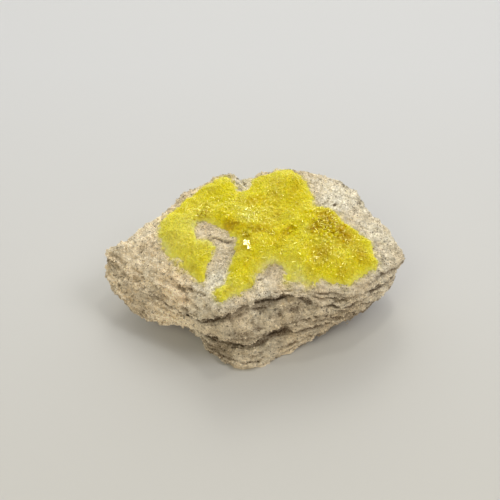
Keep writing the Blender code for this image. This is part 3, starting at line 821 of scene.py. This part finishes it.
@dataclass
class SulfurCrust:
    """The crust of sulfur: a swollen sheet over the rock's top, and the crystals grown on it."""

    rock: MatrixRock
    outline: Points = (  # its edge in plan, (x, y), anticlockwise from the right end
        (35.9, -3.6), (35.4, 1.2), (31.2, 4.4), (26.8, 7.5), (24.5, 11), (21.2, 13), (18.2, 12.8),
        (18.6, 16), (17.6, 20), (16.5, 24.5), (14.8, 27.4), (12, 29.8), (6.5, 29.3), (4, 27.8),
        (-0.2, 25.6), (-1.3, 22.6), (-2.8, 20), (-5.2, 19.8), (-6.2, 23.8), (-7.2, 26.6), (-9.6, 27.6),
        (-12.6, 26.2), (-15.4, 24.4), (-18.2, 21.6), (-19, 19.4), (-22.4, 16.4), (-26, 12.6), (-29.2, 8),
        (-29.5, 4.2), (-28.8, 1), (-27.8, -2.6), (-25.4, -7), (-22.4, -9.4), (-19.4, -12.2),
        (-17.2, -14.8), (-15.2, -16.3), (-14.4, -14.8), (-14.2, -11), (-12.6, -7.4), (-11.4, -3.8),
        (-13.8, -1), (-17.2, -1.4), (-18.2, 2.4), (-17.6, 5.8), (-15, 6.2), (-11.6, 4), (-8.2, 1.4),
        (-5.8, -2.4), (-6.4, -8), (-7.8, -14), (-9, -17.8), (-11.9, -18.8), (-12.6, -21.2), (-11, -23.8),
        (-10.2, -24.9), (-8.8, -24.7), (-7.9, -23.2), (-4.3, -21.8), (-0.4, -18.6), (0.1, -15.8),
        (3.2, -12.8), (5.4, -10.7), (8.6, -12.8), (8.4, -15.4), (8.2, -17.4), (9.4, -18.2), (14.4, -18.5),
        (17.4, -18), (19.6, -16.2), (23, -16.8), (26.4, -17), (29, -15.4), (33, -12), (36.4, -9.4),
        (37.2, -6.6),
    )
    gap: float = 0.1
    edge: float = 0.15
    body: float = 1.5
    shoulder: float = 5.0
    lobes: Bumps = (
        (10, 22.5, 9, 1.5), (-9.5, 22, 6, 0.8), (-22.5, 5, 8, 0.8), (-8, 8, 8, 0.9), (23, 4, 8, 0.9),
        (29, -8, 8, 0.7),
    )
    steps: Bumps = (  # the pocket on the right and smaller dips
        (18.1, 1.3, 2.6, -0.9), (27.2, 0.1, 2.4, -0.9), (21.3, 6.5, 2.8, -0.9), (22.5, 2.5, 5, -0.4),
        (-1.4, 12.4, 3.5, -0.5), (7.5, -4, 3.5, -0.4),
    )
    ledge_line: Points = (  # the glittering ledge over the middle, from left to right
        (-12, 6.6), (-6.8, 3.1), (-2.9, 1.2), (2.2, 1.7), (6.1, -0.9), (10.6, 1.1), (13.7, 3.2),
    )
    ledge_rise: float = 0.8
    ledge_dip: float = 0.5
    amber_spots: Bumps = (
        (-1.4, 12.4, 3.6, 0.55), (6.2, 7.4, 4, 0.5), (7.5, -4, 4, 0.45), (18.1, 1.3, 2.6, 0.8),
        (27.2, 0.1, 2.6, 1), (21.3, 6.5, 3, 0.8), (22.6, 3.2, 5, 0.5), (19.6, -8.2, 3.8, 0.6),
        (31.8, -7.2, 3.8, 0.7), (5, 16, 6, 0.35), (30, -2.5, 4.5, 0.5), (24, -4.5, 3.5, 0.3),
        (25.6, -13.2, 3.5, 0.3), (-18.3, -6.5, 3, 0.3), (-7.6, -20.6, 1.6, 0.5),
    )
    pale_spots: Bumps = (
        (-21.6, 2.8, 7, 0.7), (-20, -9, 5, 0.4), (11, 24, 8, 0.3), (-1.4, 5.5, 3.6, 0.6),
        (4.5, -11, 4.5, 0.9), (13.2, -16.6, 5, 1), (-8, -19.5, 4, 0.6), (-14.8, -2.7, 3, 0.5),
        (-25.3, -2.6, 5, 0.4), (18.2, -10.7, 1.5, 0.7),
    )
    coarse_spots: Bumps = ((22.5, 3, 6, 1), (-15.5, 9, 3, 0.6), (-2, -1, 2, 0.7))
    streak_spots: Bumps = (
        (0, 4, 9, 0.7), (22, -8, 8, 0.8), (-7, -17, 5, 0.3), (-15, 12, 5, 0.3),
    )
    patchy_spots: Bumps = ((13, -16, 5, 1), (-24, -8, 4, 0.6))
    facet_width: float = 1.1
    facet_heights: tuple[float, float, float] = (0.25, 0.5, 0.35)  # middle, slope, how far they differ
    swells: Layers = ((2.6, 0.22, 57),)
    sheet_pitch: float = 0.36
    overlap: float = 0.9  # how far the sheet runs on under the rock's surface past its edge
    skirt: float = 0.5  # how far below the rock's surface it lies there
    dust_reach: float = 0.3  # how quickly the dust of sulfur on the rock thins out
    dust_floor: float = 19.5  # the height that it stays above
    plates: Points = (  # the crystal faces that glint, (x, y, half width, length to width)
        (-2.5, -5.6, 1.6, 1), (-1.7, -7.5, 0.9, 1), (-2.4, 8.2, 0.22, 4), (-2, -1, 0.4, 2),
        (18.2, -10.7, 0.3, 1.6), (14.5, 3, 0.22, 2), (22, 2.4, 0.26, 2),
    )
    plate_face: tuple[float, float, float] = (0.094, -0.24, 0.966)  # the way that they all face
    plate_rise: float = 0.55  # of their middles over the crust
    plate_turn: float = 0.85  # about the way that they face, in radians
    plate_cut: float = 0.2
    blade_face: tuple[float, float, float] = (0.0, 0.04, 1.0)  # the way that the lying blades face

    def margin(self, plan: Array) -> Array:
        """Distance of each point inside the crust's frayed edge, negative outside it."""
        spots = flat(plan)
        fray = [layered(spots, ((2.2, 0.45, seed), (0.9, 0.35, seed + 2))) for seed in (31, 32)]
        moved = plan + np.stack(fray, axis=-1)
        distance = distance_to_line(moved, self.outline, closed=True)
        signed = np.where(inside(moved, self.outline), distance, -distance)
        patchy = bumps_at(plan, self.patchy_spots)
        return signed - patchy * (1.2 + 1.6 * noise(spots, 1.7, 35))

    def ledge(self, plan: Array) -> tuple[Array, Array, Array]:
        """The jagged ledge across the middle.

        Returns:
            How high each point stands behind the ledge, less the hollow at its foot. How deep it lies
            in that hollow, and how near it is to the ledge's lip, both from 0 to 1.
        """
        line = np.array(self.ledge_line)
        jag = layered(flat(plan), ((1.3, 0.5, 38), (3, 0.4, 39)))
        behind = plan[:, 1] - np.interp(plan[:, 0], line[:, 0], line[:, 1]) + jag
        left, right = line[0, 0], line[-1, 0]
        ends = smooth(plan[:, 0], left, left + 4) * smooth(-plan[:, 0], -right, 3 - right)
        rise = smooth(behind, -0.3, 0.3) * np.exp(-np.maximum(behind, 0.0) / 4)
        hollow = np.exp(-(((behind + 1.2) / 0.9) ** 2))
        lip = np.exp(-(((behind - 0.3) / 0.8) ** 2))
        return ends * (self.ledge_rise * rise - self.ledge_dip * hollow), ends * hollow, ends * lip

    def thickness(self, plan: Array, margin: Array) -> Array:
        """Height of the sheet over the rock, from a skirt below it at the edge to its full body."""
        swell = np.clip(margin / self.shoulder, 0, 1)
        swell = swell * (2 - swell)
        slow = layered(flat(plan), ((6, 0.4, 51), (2, 0.18, 52)))
        lobes = bumps_at(plan, self.lobes) + bumps_at(plan, self.steps) + self.ledge(plan)[0] + slow
        full = self.gap + self.edge + swell * (self.body - self.edge + lobes)
        return (full + self.skirt) * smooth(margin, -self.skirt, 0.8) - self.skirt

    def height(self, plan: Array, margin: Array) -> tuple[Array, Array]:
        """Height of the sheet's upper face, and each point's share of the way to the rock's rim.

        The rock's top plus the thickness, broken up into facets: low cones round scattered seeds.
        """
        ground, share = self.rock.top_height(plan)
        distance, facet = nearest_seed(flat(plan), self.facet_width, 53)
        middle, slope, spread = self.facet_heights
        facets = layered(flat(plan), self.swells, middle - slope * distance + spread * (facet - 0.5))
        facets = facets * smooth(margin, -0.2, 0.8)
        return ground + self.thickness(plan, margin) + facets, share

    def build_sheet(self) -> bpy.types.Object:
        """The sheet as a closed mesh: a grid over the crust's plan, kept where it is inside.

        The upper face stands at the sheet's height. The lower face lies under the rock's surface, and
        walls join the two round the border cells.
        """
        low, high = np.min(self.outline, axis=0) - 2, np.max(self.outline, axis=0) + 2
        across, deep = np.ceil((high - low) / self.sheet_pitch).astype(int)
        x, y = np.meshgrid(np.arange(across), np.arange(deep), indexing="ij")
        plan = (low + np.stack([x, y], axis=-1) * self.sheet_pitch).reshape(-1, 2)
        margin = self.margin(plan)
        kept = (margin > -self.overlap).reshape(across, deep)
        cell = kept[:-1, :-1] & kept[1:, :-1] & kept[1:, 1:] & kept[:-1, 1:]
        windows = [np.s_[i : across - 1 + i, j : deep - 1 + j] for i, j in ((0, 0), (1, 0), (1, 1), (0, 1))]
        used = np.zeros((across, deep), bool)
        for window in windows:
            used[window] |= cell
        number = np.cumsum(used.ravel()).reshape(used.shape) - 1
        plan, margin = plan[used.ravel()], margin[used.ravel()]
        top, share = self.height(plan, margin)
        ground = self.rock.top_height(plan)[0]
        plan = plan * np.minimum(1.0, 0.985 / share)[:, None]
        upper = np.column_stack([plan, top])
        lower = np.column_stack([plan, np.minimum(ground - 2 * self.skirt, top - 0.2)])
        corner = [number[window][cell] for window in windows]
        quads = np.stack(corner, axis=-1)
        faces = [quads, quads[:, ::-1] + len(upper)]
        padded = np.pad(cell, 1)
        sides = (((0, -1), 0, 1), ((1, 0), 1, 2), ((0, 1), 2, 3), ((-1, 0), 3, 0))
        for (i, j), first, second in sides:
            border = ~padded[1 + i : across + i, 1 + j : deep + j][cell]
            a, b = corner[first][border], corner[second][border]
            faces.append(np.stack([b, a, a + len(upper), b + len(upper)], axis=-1))
        both = np.concatenate([plan, plan])
        values = self.tints(both, 54)
        # painted shade in the gaps between coarse crystals, which are also made more amber
        values["gap"] = smooth(self.coarse_share(both), 0.2, 0.7)
        values["amber"] = np.clip(values["amber"] + values["gap"], 0.0, 1.0)
        return mesh_piece("sulfur_sheet", np.vstack([upper, lower]), faces, values)

    def tints(self, plan: Array, seed: int) -> dict[str, Array]:
        """The values that the sulfur's finish reads: amber, pale, a random shade, and no painted gap shade.
        """
        spots = flat(plan)
        cloud = layered(spots, ((5, 0.35, 55), (2, 0.25, 58)))
        patchy = smooth(noise(spots, 2.4, 60), -0.5, 0.4)
        amber = bumps_at(plan, self.amber_spots) + 0.6 * patchy * self.ledge(plan)[1] + cloud
        pale = 0.1 + bumps_at(plan, self.pale_spots) + 0.35 * noise(spots, 5.0, 56)
        return {
            "amber": np.clip(amber, 0.0, 1.0),
            "pale": np.clip(pale + 0.7 * smooth(-self.margin(plan), -1.8, -0.1), 0.0, 1.6),
            "shade": noise(spots, 0.8, seed) / 2 + 0.5,
            "gap": np.zeros(len(plan)),
        }

    def coarse_share(self, plan: Array) -> Array:
        """How much of the crust's face is coarse crystals with painted shade in the gaps between them, from
        0 to 1.
        """
        broken = smooth(noise(flat(plan), 3.0, 61), -0.6, 0.3)
        return np.clip(bumps_at(plan, self.coarse_spots) + 0.6 * broken * self.ledge(plan)[2], 0.0, 1.0)

    def crystal_places(self, habit: Habit, draw: np.random.Generator) -> tuple[Array, Array]:
        """Places in plan for one habit's crystals, and their sizes against its usual size.

        A jittered honeycomb over the crust, thinned at the edge. Coarse crystals keep to their spots.
        """
        low, high = np.min(self.outline, axis=0), np.max(self.outline, axis=0)
        count = np.ceil((high - low) / habit.value.pitch).astype(int) + 2
        column, row = np.meshgrid(np.arange(count[0]), np.arange(int(count[1] * 1.16)))
        plan = np.stack([column + row % 2 / 2, row * math.sqrt(0.75)], axis=-1).reshape(-1, 2)
        plan = low + (plan + draw.uniform(-0.42, 0.42, plan.shape)) * habit.value.pitch
        margin = self.margin(plan)
        size = draw.uniform(0.65, 1.25, len(plan)) * (0.55 + 0.45 * smooth(margin, 0.0, 2.2))
        if habit is Habit.FINE:
            size *= 1 + 0.3 * noise(flat(plan), 4.0, 36)
            keep = margin > draw.uniform(-0.35, 0.35, len(plan))
            keep &= draw.uniform(0.15, 0.9, len(plan)) > self.coarse_share(plan)
        elif habit is Habit.LYING:
            share = 0.06 + bumps_at(plan, self.streak_spots) + 0.8 * bumps_at(plan, self.coarse_spots)
            keep = (margin > 0.8) & (draw.uniform(size=len(plan)) < share)
        else:
            keep = (margin > 0.8) & (draw.uniform(0.0, 0.7, len(plan)) < self.coarse_share(plan))
        return plan[keep], size[keep]

    def build_crystals(self, habit: Habit, seed: int) -> bpy.types.Object:
        """One habit's crystals as one mesh of closed four-sided double pyramids with cut tips.

        They stand at right angles to the crust, leaning by up to the habit's tilt. A blade is long,
        flat and level instead, with its face up.

        Args:
            habit: the kind of crystal.
            seed: of the random draws.

        Returns:
            The mesh object.
        """
        draw = np.random.default_rng(seed)
        plan, size = self.crystal_places(habit, draw)
        count = len(plan)
        height, share = self.height(plan, self.margin(plan))
        step = 0.4
        slope = [(self.height(plan + offset, self.margin(plan + offset))[0] - height) / step
                 for offset in ((step, 0.0), (0.0, step))]
        axis = np.column_stack([*np.clip(-np.array(slope), -1.2, 1.2), np.ones(count)])
        axis /= np.linalg.norm(axis, axis=1, keepdims=True)
        if habit is Habit.LYING:
            axis[:] = self.blade_face
        axis += draw.normal(size=(count, 3)) * habit.value.tilt / 1.6
        half = habit.value.half_width * size
        plan = plan * np.minimum(1.0, 0.99 / share)[:, None]
        axis /= np.linalg.norm(axis, axis=1, keepdims=True)
        centre = np.column_stack([plan, height]) + axis * (habit.value.rise * half)[:, None]
        spin, short = draw.uniform(0, 2 * math.pi, count), draw.uniform(0.72, 1.0, count)
        tall, cut = habit.value.tall * draw.uniform(0.75, 1.25, count), draw.uniform(0.5, 0.95, count)
        if habit is Habit.LYING:
            half, short, cut = half * tall, short / tall, 0.2
            tall = 0.8 * short
        points, faces = pyramids(centre, axis, spin, half, short, tall, np.broadcast_to(cut, (count,)))
        values = repeated(self.tints(plan, 57), 12)
        values["shade"] = np.repeat(draw.uniform(size=count), 12)
        # the blades are paler and less amber, a painted highlight that adds to their real glint
        if habit is Habit.LYING:
            values["amber"] *= 0.3
            values["pale"] = np.clip(values["pale"] + 0.4, 0.0, 1.0)
        elif habit is Habit.COARSE:
            turned = np.repeat(draw.uniform(-0.4, 0.4, count), 12)
            values["amber"] = np.clip(values["amber"] + turned, 0.0, 1.0)
        return mesh_piece(f"sulfur_crystals_{habit.name.lower()}", points, [faces], values)

    def build_plates(self) -> bpy.types.Object:
        """The few crystal faces that glint: cut so short that each is a flat plate, all facing one way."""
        x, y, half, long = np.array(self.plates).T
        plan = np.column_stack([x, y])
        height = self.height(plan, self.margin(plan))[0]
        axis = np.broadcast_to(self.plate_face / length(np.array(self.plate_face)), (len(x), 3))
        centre = np.column_stack([plan, height + self.plate_rise])
        spin, cut = np.full(len(x), self.plate_turn), np.full(len(x), self.plate_cut)
        points, faces = pyramids(centre, axis, spin, half * long, 1 / long, 1.5 / long, cut)
        values = repeated(self.tints(plan, 57), 12)
        return mesh_piece("sulfur_faces", points, [faces], values)


# ---- Finishes ------------------------------------------------------------------------------------


class NodeSheet:
    """Adds nodes and links to a node tree."""

    def __init__(self, tree: bpy.types.NodeTree) -> None:
        """Keeps the tree that nodes are added to."""
        self.tree = tree

    def add(self, kind: str, settings: dict | None = None, **inputs: object) -> bpy.types.Node:
        """A new shader node of a kind such as "Mix", with its own properties and its inputs set."""
        node = self.tree.nodes.new("ShaderNode" + kind)
        for key, value in (settings or {}).items():
            setattr(node, key, value)
        return self.fill(node, **inputs)

    def fill(self, node: bpy.types.Node, **inputs: object) -> bpy.types.Node:
        """A node with its inputs set.

        Args:
            node: the node.
            inputs: by input name with _ for a space, or by number as i0, i1; a socket is linked.

        Returns:
            The node.
        """
        for key, value in inputs.items():
            place = int(key[1:]) if key[0] == "i" and key[1:].isdigit() else key.replace("_", " ")
            if isinstance(value, Socket):
                self.tree.links.new(value, node.inputs[place])
            else:
                node.inputs[place].default_value = value
        return node

    def value(self, name: str) -> Socket:
        """A named value of the mesh."""
        return self.add("Attribute", {"attribute_name": name}).outputs["Fac"]

    def place(self, kind: str = "Object") -> Socket:
        """The object's own coordinates, or another kind."""
        return self.add("TexCoord").outputs[kind]

    def noise(self, where: Socket, width: float, detail: float = 2.0) -> Socket:
        """Noise with features of a width in millimetres."""
        return self.add("TexNoise", Vector=where, Scale=1 / (width * MM), Detail=detail).outputs["Fac"]

    def ramp(self, value: Socket, low: float, high: float, least: float = 0.0, most: float = 1.0) -> Socket:
        """A value stretched so that low becomes least and high becomes most, and kept between them."""
        ends = {"From_Min": low, "From_Max": high, "To_Min": least, "To_Max": most}
        return self.add("MapRange", {"clamp": True}, Value=value, **ends).outputs["Result"]

    def math(self, operation: str, first: object, second: object) -> Socket:
        """Two values combined."""
        return self.add("Math", {"operation": operation}, i0=first, i1=second).outputs[0]

    def vectors(self, operation: str, first: object, second: object) -> Socket:
        """Two vectors combined."""
        return self.add("VectorMath", {"operation": operation}, i0=first, i1=second).outputs[0]

    def mix(self, share: object, first: object, second: object) -> Socket:
        """Two colours mixed: colours are sockets or (red, green, blue)."""
        first, second = ((*c, 1.0) if isinstance(c, tuple) else c for c in (first, second))
        return self.add("Mix", {"data_type": "RGBA"}, i0=share, i6=first, i7=second).outputs[2]

    def tint(self, name: str, strength: float, base: Socket, colour: Colour) -> Socket:
        """A colour laid over another as strongly as a named value of the mesh, times a strength."""
        return self.mix(self.math("MULTIPLY", self.value(name), strength), base, colour)

    def tone(self, colour: object, factor: Socket) -> Socket:
        """A colour multiplied by a value."""
        return self.add("VectorMath", {"operation": "SCALE"}, i0=colour, Scale=factor).outputs[0]

    def bump(self, grains: bpy.types.Node, distance: float) -> Socket:
        """The surface's direction under a grain of a height in metres."""
        return self.add("Bump", Height=grains.outputs["Height"], Distance=distance).outputs["Normal"]


def new_material(name: str) -> tuple[bpy.types.Material, NodeSheet, bpy.types.Node]:
    """A new material, the sheet of its node tree and its shader."""
    material = bpy.data.materials.new(name)
    material.use_nodes = True
    return material, NodeSheet(material.node_tree), material.node_tree.nodes["Principled BSDF"]


def grain_group() -> bpy.types.NodeTree:
    """The shared grain: a tone that varies about 1 and a height, for any surface with a fine grain.

    The tone is 1 plus Contrast times the sum of a fine and a coarse noise about their means. The
    height is the fine noise. Width is the fine grain's width in millimetres, and Flatness how many
    times wider than high its features are.
    """
    group = bpy.data.node_groups.new("fine_grain", "ShaderNodeTree")
    for name, default in (("Width", 0.5), ("Contrast", 0.5), ("Flatness", 1.0)):
        socket = group.interface.new_socket(name, in_out="INPUT", socket_type="NodeSocketFloat")
        socket.default_value = default
    for name in ("Tone", "Height"):
        group.interface.new_socket(name, in_out="OUTPUT", socket_type="NodeSocketFloat")
    sheet = NodeSheet(group)
    given = group.nodes.new("NodeGroupInput").outputs
    stretch = sheet.add("CombineXYZ", X=1.0, Y=1.0, Z=given["Flatness"]).outputs[0]
    where = sheet.vectors("MULTIPLY", sheet.place(), stretch)
    fine_scale = sheet.math("DIVIDE", 1 / MM, given["Width"])
    coarse_scale = sheet.math("MULTIPLY", fine_scale, 0.36)
    fine = sheet.add("TexNoise", Vector=where, Scale=fine_scale, Detail=3.0, Roughness=0.7).outputs["Fac"]
    coarse = sheet.add("TexNoise", Vector=where, Scale=coarse_scale, Detail=2.0).outputs["Fac"]
    centred = sheet.math("SUBTRACT", sheet.math("ADD", fine, coarse), 1.0)
    tone = sheet.math("ADD", sheet.math("MULTIPLY", centred, given["Contrast"]), 1.0)
    sheet.fill(group.nodes.new("NodeGroupOutput"), Tone=tone, Height=fine)
    return group


@dataclass(frozen=True)
class RockFinish:
    """Matt, porous rock: buff to cream, specked and stained, with painted shade in its hollows."""

    buff: Colour = (0.90, 0.77, 0.56)
    cream: Colour = (0.96, 0.90, 0.74)
    # the colour of the painted shade in pits, cracks, recesses and undersides
    dark: Colour = (0.14, 0.085, 0.04)
    speck: Colour = (0.22, 0.135, 0.06)
    stain: Colour = (0.62, 0.36, 0.16)
    dust: Colour = (0.86, 0.78, 0.13)
    grain_width: float = 0.5
    grain_contrast: float = 0.9
    flatness: float = 2.0
    speck_width: float = 0.55
    speck_flatness: float = 2.6
    cluster_width: float = 4.0  # of the clusters that the specks lie in
    cloud_width: float = 7.0  # of the clouds of buff and cream
    roughness: float = 0.95
    gloss: float = 0.25
    bump: float = 0.00016

    def material(self, grain: bpy.types.NodeTree) -> bpy.types.Material:
        """The rock's material, with the shared grain."""
        material, sheet, shader = new_material("bedded_rock")
        where = sheet.place()
        grains = sheet.add("Group", {"node_tree": grain}, Width=self.grain_width,
                           Contrast=self.grain_contrast, Flatness=self.flatness)
        cloud = sheet.ramp(sheet.noise(where, self.cloud_width), 0.35, 0.68)
        share = sheet.math("ADD", sheet.math("MULTIPLY", cloud, 0.45), sheet.value("pale"))
        base = sheet.mix(sheet.ramp(share, 0.0, 1.1), self.buff, self.cream)
        base = sheet.tint("stain", 0.25, base, self.stain)
        base = sheet.tint("dust", 0.9, base, self.dust)
        base = sheet.tone(base, sheet.ramp(sheet.value("shade"), 0.0, 1.0, 0.3, 1.2))
        base = sheet.tone(base, grains.outputs["Tone"])
        flattened = sheet.vectors("MULTIPLY", where, (1.0, 1.0, self.speck_flatness))
        speck = sheet.ramp(sheet.noise(flattened, self.speck_width, detail=1.0), 0.60, 0.66)
        cluster = sheet.ramp(sheet.noise(flattened, self.cluster_width), 0.42, 0.64, 0.1, 0.9)
        base = sheet.mix(sheet.math("MULTIPLY", speck, cluster), base, self.speck)
        # painted shade: darkened as far as the hollow value, in pits, cracks, recesses and undersides
        base = sheet.tint("hollow", 0.88, base, self.dark)
        sheet.fill(shader, Base_Color=base, Normal=sheet.bump(grains, self.bump), Roughness=self.roughness,
                   Specular_IOR_Level=self.gloss)
        return material


@dataclass(frozen=True)
class SulfurFinish:
    """Resinous, translucent sulfur: lemon yellow, frosted pale in places, amber where it is deep."""

    name: str
    lemon: Colour = (0.93, 0.80, 0.012)
    frosted: Colour = (0.95, 0.87, 0.15)
    hazy: Colour = (0.93, 0.86, 0.42)  # where the crust thins out
    amber: Colour = (0.66, 0.45, 0.0)
    transmission: float = 0.1
    subsurface: float = 0.4
    depth: float = 0.0012  # that light reaches under the surface, by the shares of each colour
    depth_shares: Colour = (1.0, 0.8, 0.12)
    roughness: float = 0.16
    index: float = 1.96  # of refraction
    gloss: float = 0.3
    glint: Colour = (1.0, 0.93, 0.5)  # the colour that its faces reflect
    variety: float = 0.14  # how far the crystals' tones differ
    grain_width: float = 0.8
    contrast: float = 0.2  # of the grain
    painted_gap_shade: float = 0.85  # tone of the painted shade in the gaps between coarse crystals
    bump: float = 0.00004

    def material(self, grain: bpy.types.NodeTree) -> bpy.types.Material:
        """The sulfur's material, with the shared grain."""
        material, sheet, shader = new_material(self.name)
        grains = sheet.add("Group", {"node_tree": grain}, Width=self.grain_width, Contrast=self.contrast)
        base = sheet.mix(sheet.ramp(sheet.value("pale"), 0.0, 1.0), self.lemon, self.frosted)
        base = sheet.mix(sheet.ramp(sheet.value("pale"), 0.85, 1.6, 0.0, 0.7), base, self.hazy)
        base = sheet.mix(sheet.value("amber"), base, self.amber)
        shade = sheet.ramp(sheet.value("shade"), 0.0, 1.0, 1 - self.variety, 1 + self.variety)
        base = sheet.tone(sheet.tone(base, shade), grains.outputs["Tone"])
        # painted shade in the gaps between coarse crystals
        base = sheet.tone(base, sheet.ramp(sheet.value("gap"), 0.0, 1.0, 1.0, self.painted_gap_shade))
        sheet.fill(
            shader, Base_Color=base, Normal=sheet.bump(grains, self.bump), Roughness=self.roughness,
            IOR=self.index, Specular_IOR_Level=self.gloss, Specular_Tint=(*self.glint, 1.0),
            Transmission_Weight=self.transmission, Subsurface_Weight=self.subsurface,
            Subsurface_Radius=self.depth_shares, Subsurface_Scale=self.depth,
        )
        return material


# ---- Studio --------------------------------------------------------------------------------------


@dataclass(frozen=True)
class Lamp:
    """A square area light: its place, size and power in metres and watts, and its colour."""

    name: str
    place: tuple[float, float, float]
    size: float
    power: float
    colour: Colour = (1.0, 1.0, 1.0)

    def build(self, target: tuple[float, float, float]) -> None:
        """The light, turned to face a place."""
        lamp = bpy.data.lights.new(self.name, "AREA")
        lamp.size, lamp.energy, lamp.color = self.size, self.power, self.colour
        item = bpy.data.objects.new(self.name, lamp)
        item.location = self.place
        item.rotation_euler = (Vector(target) - Vector(self.place)).to_track_quat("-Z", "Y").to_euler()
        bpy.context.scene.collection.objects.link(item)


@dataclass
class Studio:
    """The pale table, the soft light over it and the camera, in metres."""

    target: tuple[float, float, float] = (-0.0014, 0.0053, 0.014)
    distance: float = 0.367
    elevation: float = 45.0
    lens: float = 85.0
    table_size: float = 4.0
    table_roughness: float = 0.6
    table_colour: Colour = (0.67, 0.67, 0.675)
    painted_front_shade: Colour = (0.62, 0.60, 0.55)  # of the table's front, darker and warmer as painted shade, which fades into the other
    fade: float = 0.12  # how far before and behind the middle they fade into each other
    sky_behind: Colour = (1.80, 1.84, 1.92)  # its light straight behind, fading to nothing overhead
    sky_before: Colour = (0.86, 0.79, 0.69)  # and straight before
    lamps: tuple[Lamp, ...] = (
        Lamp("key", (0.0, 1.53, 1.29), 0.6, 5.0, (1.0, 0.98, 0.85)),
        Lamp("side", (1.28, 0.0, 1.54), 1.0, 10.8),
        Lamp("fill", (-0.91, -0.91, 1.54), 1.0, 4.7, (1.0, 1.0, 0.75)),
        Lamp("lamp", (0.16, 0.30, 0.95), 0.09, 0.7, (1.0, 0.97, 0.85)),
    )

    def table(self) -> None:
        """A flat table top under the specimen, painted darker and warmer towards its front as shade."""
        corners = np.array([(-1, -1, 0), (1, -1, 0), (1, 1, 0), (-1, 1, 0)]) * self.table_size / 2 / MM
        table = mesh_piece("table", corners, [np.array([[0, 1, 2, 3]])])
        material, sheet, shader = new_material("table_top")
        depth = sheet.add("SeparateXYZ", Vector=sheet.place()).outputs["Y"]
        # painted shade: the table darkens and warms towards the front
        colour = sheet.mix(sheet.ramp(depth, -self.fade, self.fade), self.painted_front_shade, self.table_colour)
        sheet.fill(shader, Base_Color=colour, Roughness=self.table_roughness)
        table.data.materials.append(material)

    def lights(self) -> None:
        """A sky that is brightest at the back, and the lamps."""
        world = bpy.data.worlds.new("sky")
        world.use_nodes = True
        sheet = NodeSheet(world.node_tree)
        depth = sheet.add("SeparateXYZ", Vector=sheet.place("Generated")).outputs["Y"]
        behind = sheet.tone(self.sky_behind, sheet.ramp(depth, 0.0, 1.0))
        before = sheet.tone(self.sky_before, sheet.ramp(depth, 0.0, -1.0))
        sheet.fill(world.node_tree.nodes["Background"], Color=sheet.vectors("ADD", behind, before))
        bpy.context.scene.world = world
        for lamp in self.lamps:
            lamp.build(self.target)
        bpy.context.scene.view_settings.view_transform = "Standard"

    def camera(self) -> None:
        """The camera, level, looking down at the specimen from its broken front."""
        turn = math.radians(self.elevation)
        back = Vector((0.0, -math.cos(turn), math.sin(turn)))
        data = bpy.data.cameras.new("camera")
        data.lens, data.sensor_width, data.sensor_fit = self.lens, 36.0, "HORIZONTAL"
        data.clip_start, data.clip_end = 0.01, 20.0
        camera = bpy.data.objects.new("camera", data)
        camera.location = Vector(self.target) + back * self.distance
        camera.rotation_euler = (math.pi / 2 - turn, 0.0, 0.0)
        bpy.context.scene.collection.objects.link(camera)
        bpy.context.scene.camera = camera


def place(piece: bpy.types.Object, node: str, slot: str, material: bpy.types.Material) -> None:
    """Dresses a piece, and lets it stand for a node of the frame."""
    piece.data.materials.append(material)
    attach(piece, "root")
    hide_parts(node)


def main() -> None:
    """Builds the studio, the rock and the sulfur, and logs how many triangles each piece has."""
    logging.basicConfig(level=logging.INFO, format="%(name)s: %(message)s")
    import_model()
    studio = Studio()
    studio.table()
    studio.lights()
    studio.camera()
    grain = grain_group()
    rock = MatrixRock()
    rock_material = RockFinish().material(grain)
    crust = SulfurCrust(rock)
    place(rock.build(crust), "matrix_rock", "matrix_rock", rock_material)
    for seed in range(1, 4):
        place(RockCrumbs(rock).build(crust, seed), "matrix_rock", "matrix_rock", rock_material)
    finishes = (
        SulfurFinish("sulfur_mass", transmission=0.0, subsurface=0.5, roughness=0.4, gloss=0.2),
        SulfurFinish("sulfur_crystal"),
        SulfurFinish("sulfur_blade", transmission=0.0, roughness=0.1, contrast=0.0),
        SulfurFinish("sulfur_face", transmission=0.0, roughness=0.08, contrast=0.0, glint=(1.0, 1.0, 1.0)),
    )
    mass, crystal, blade, face = (finish.material(grain) for finish in finishes)
    place(crust.build_sheet(), "sulfur_crust", "sulfur", mass)
    for seed, habit in enumerate(Habit, start=1):
        finish = {Habit.FINE: mass, Habit.LYING: blade, Habit.COARSE: crystal}[habit]
        place(crust.build_crystals(habit, seed), "sulfur_crust", "sulfur", finish)
    place(crust.build_plates(), "sulfur_crust", "sulfur", face)


if __name__ == "__main__":
    main()
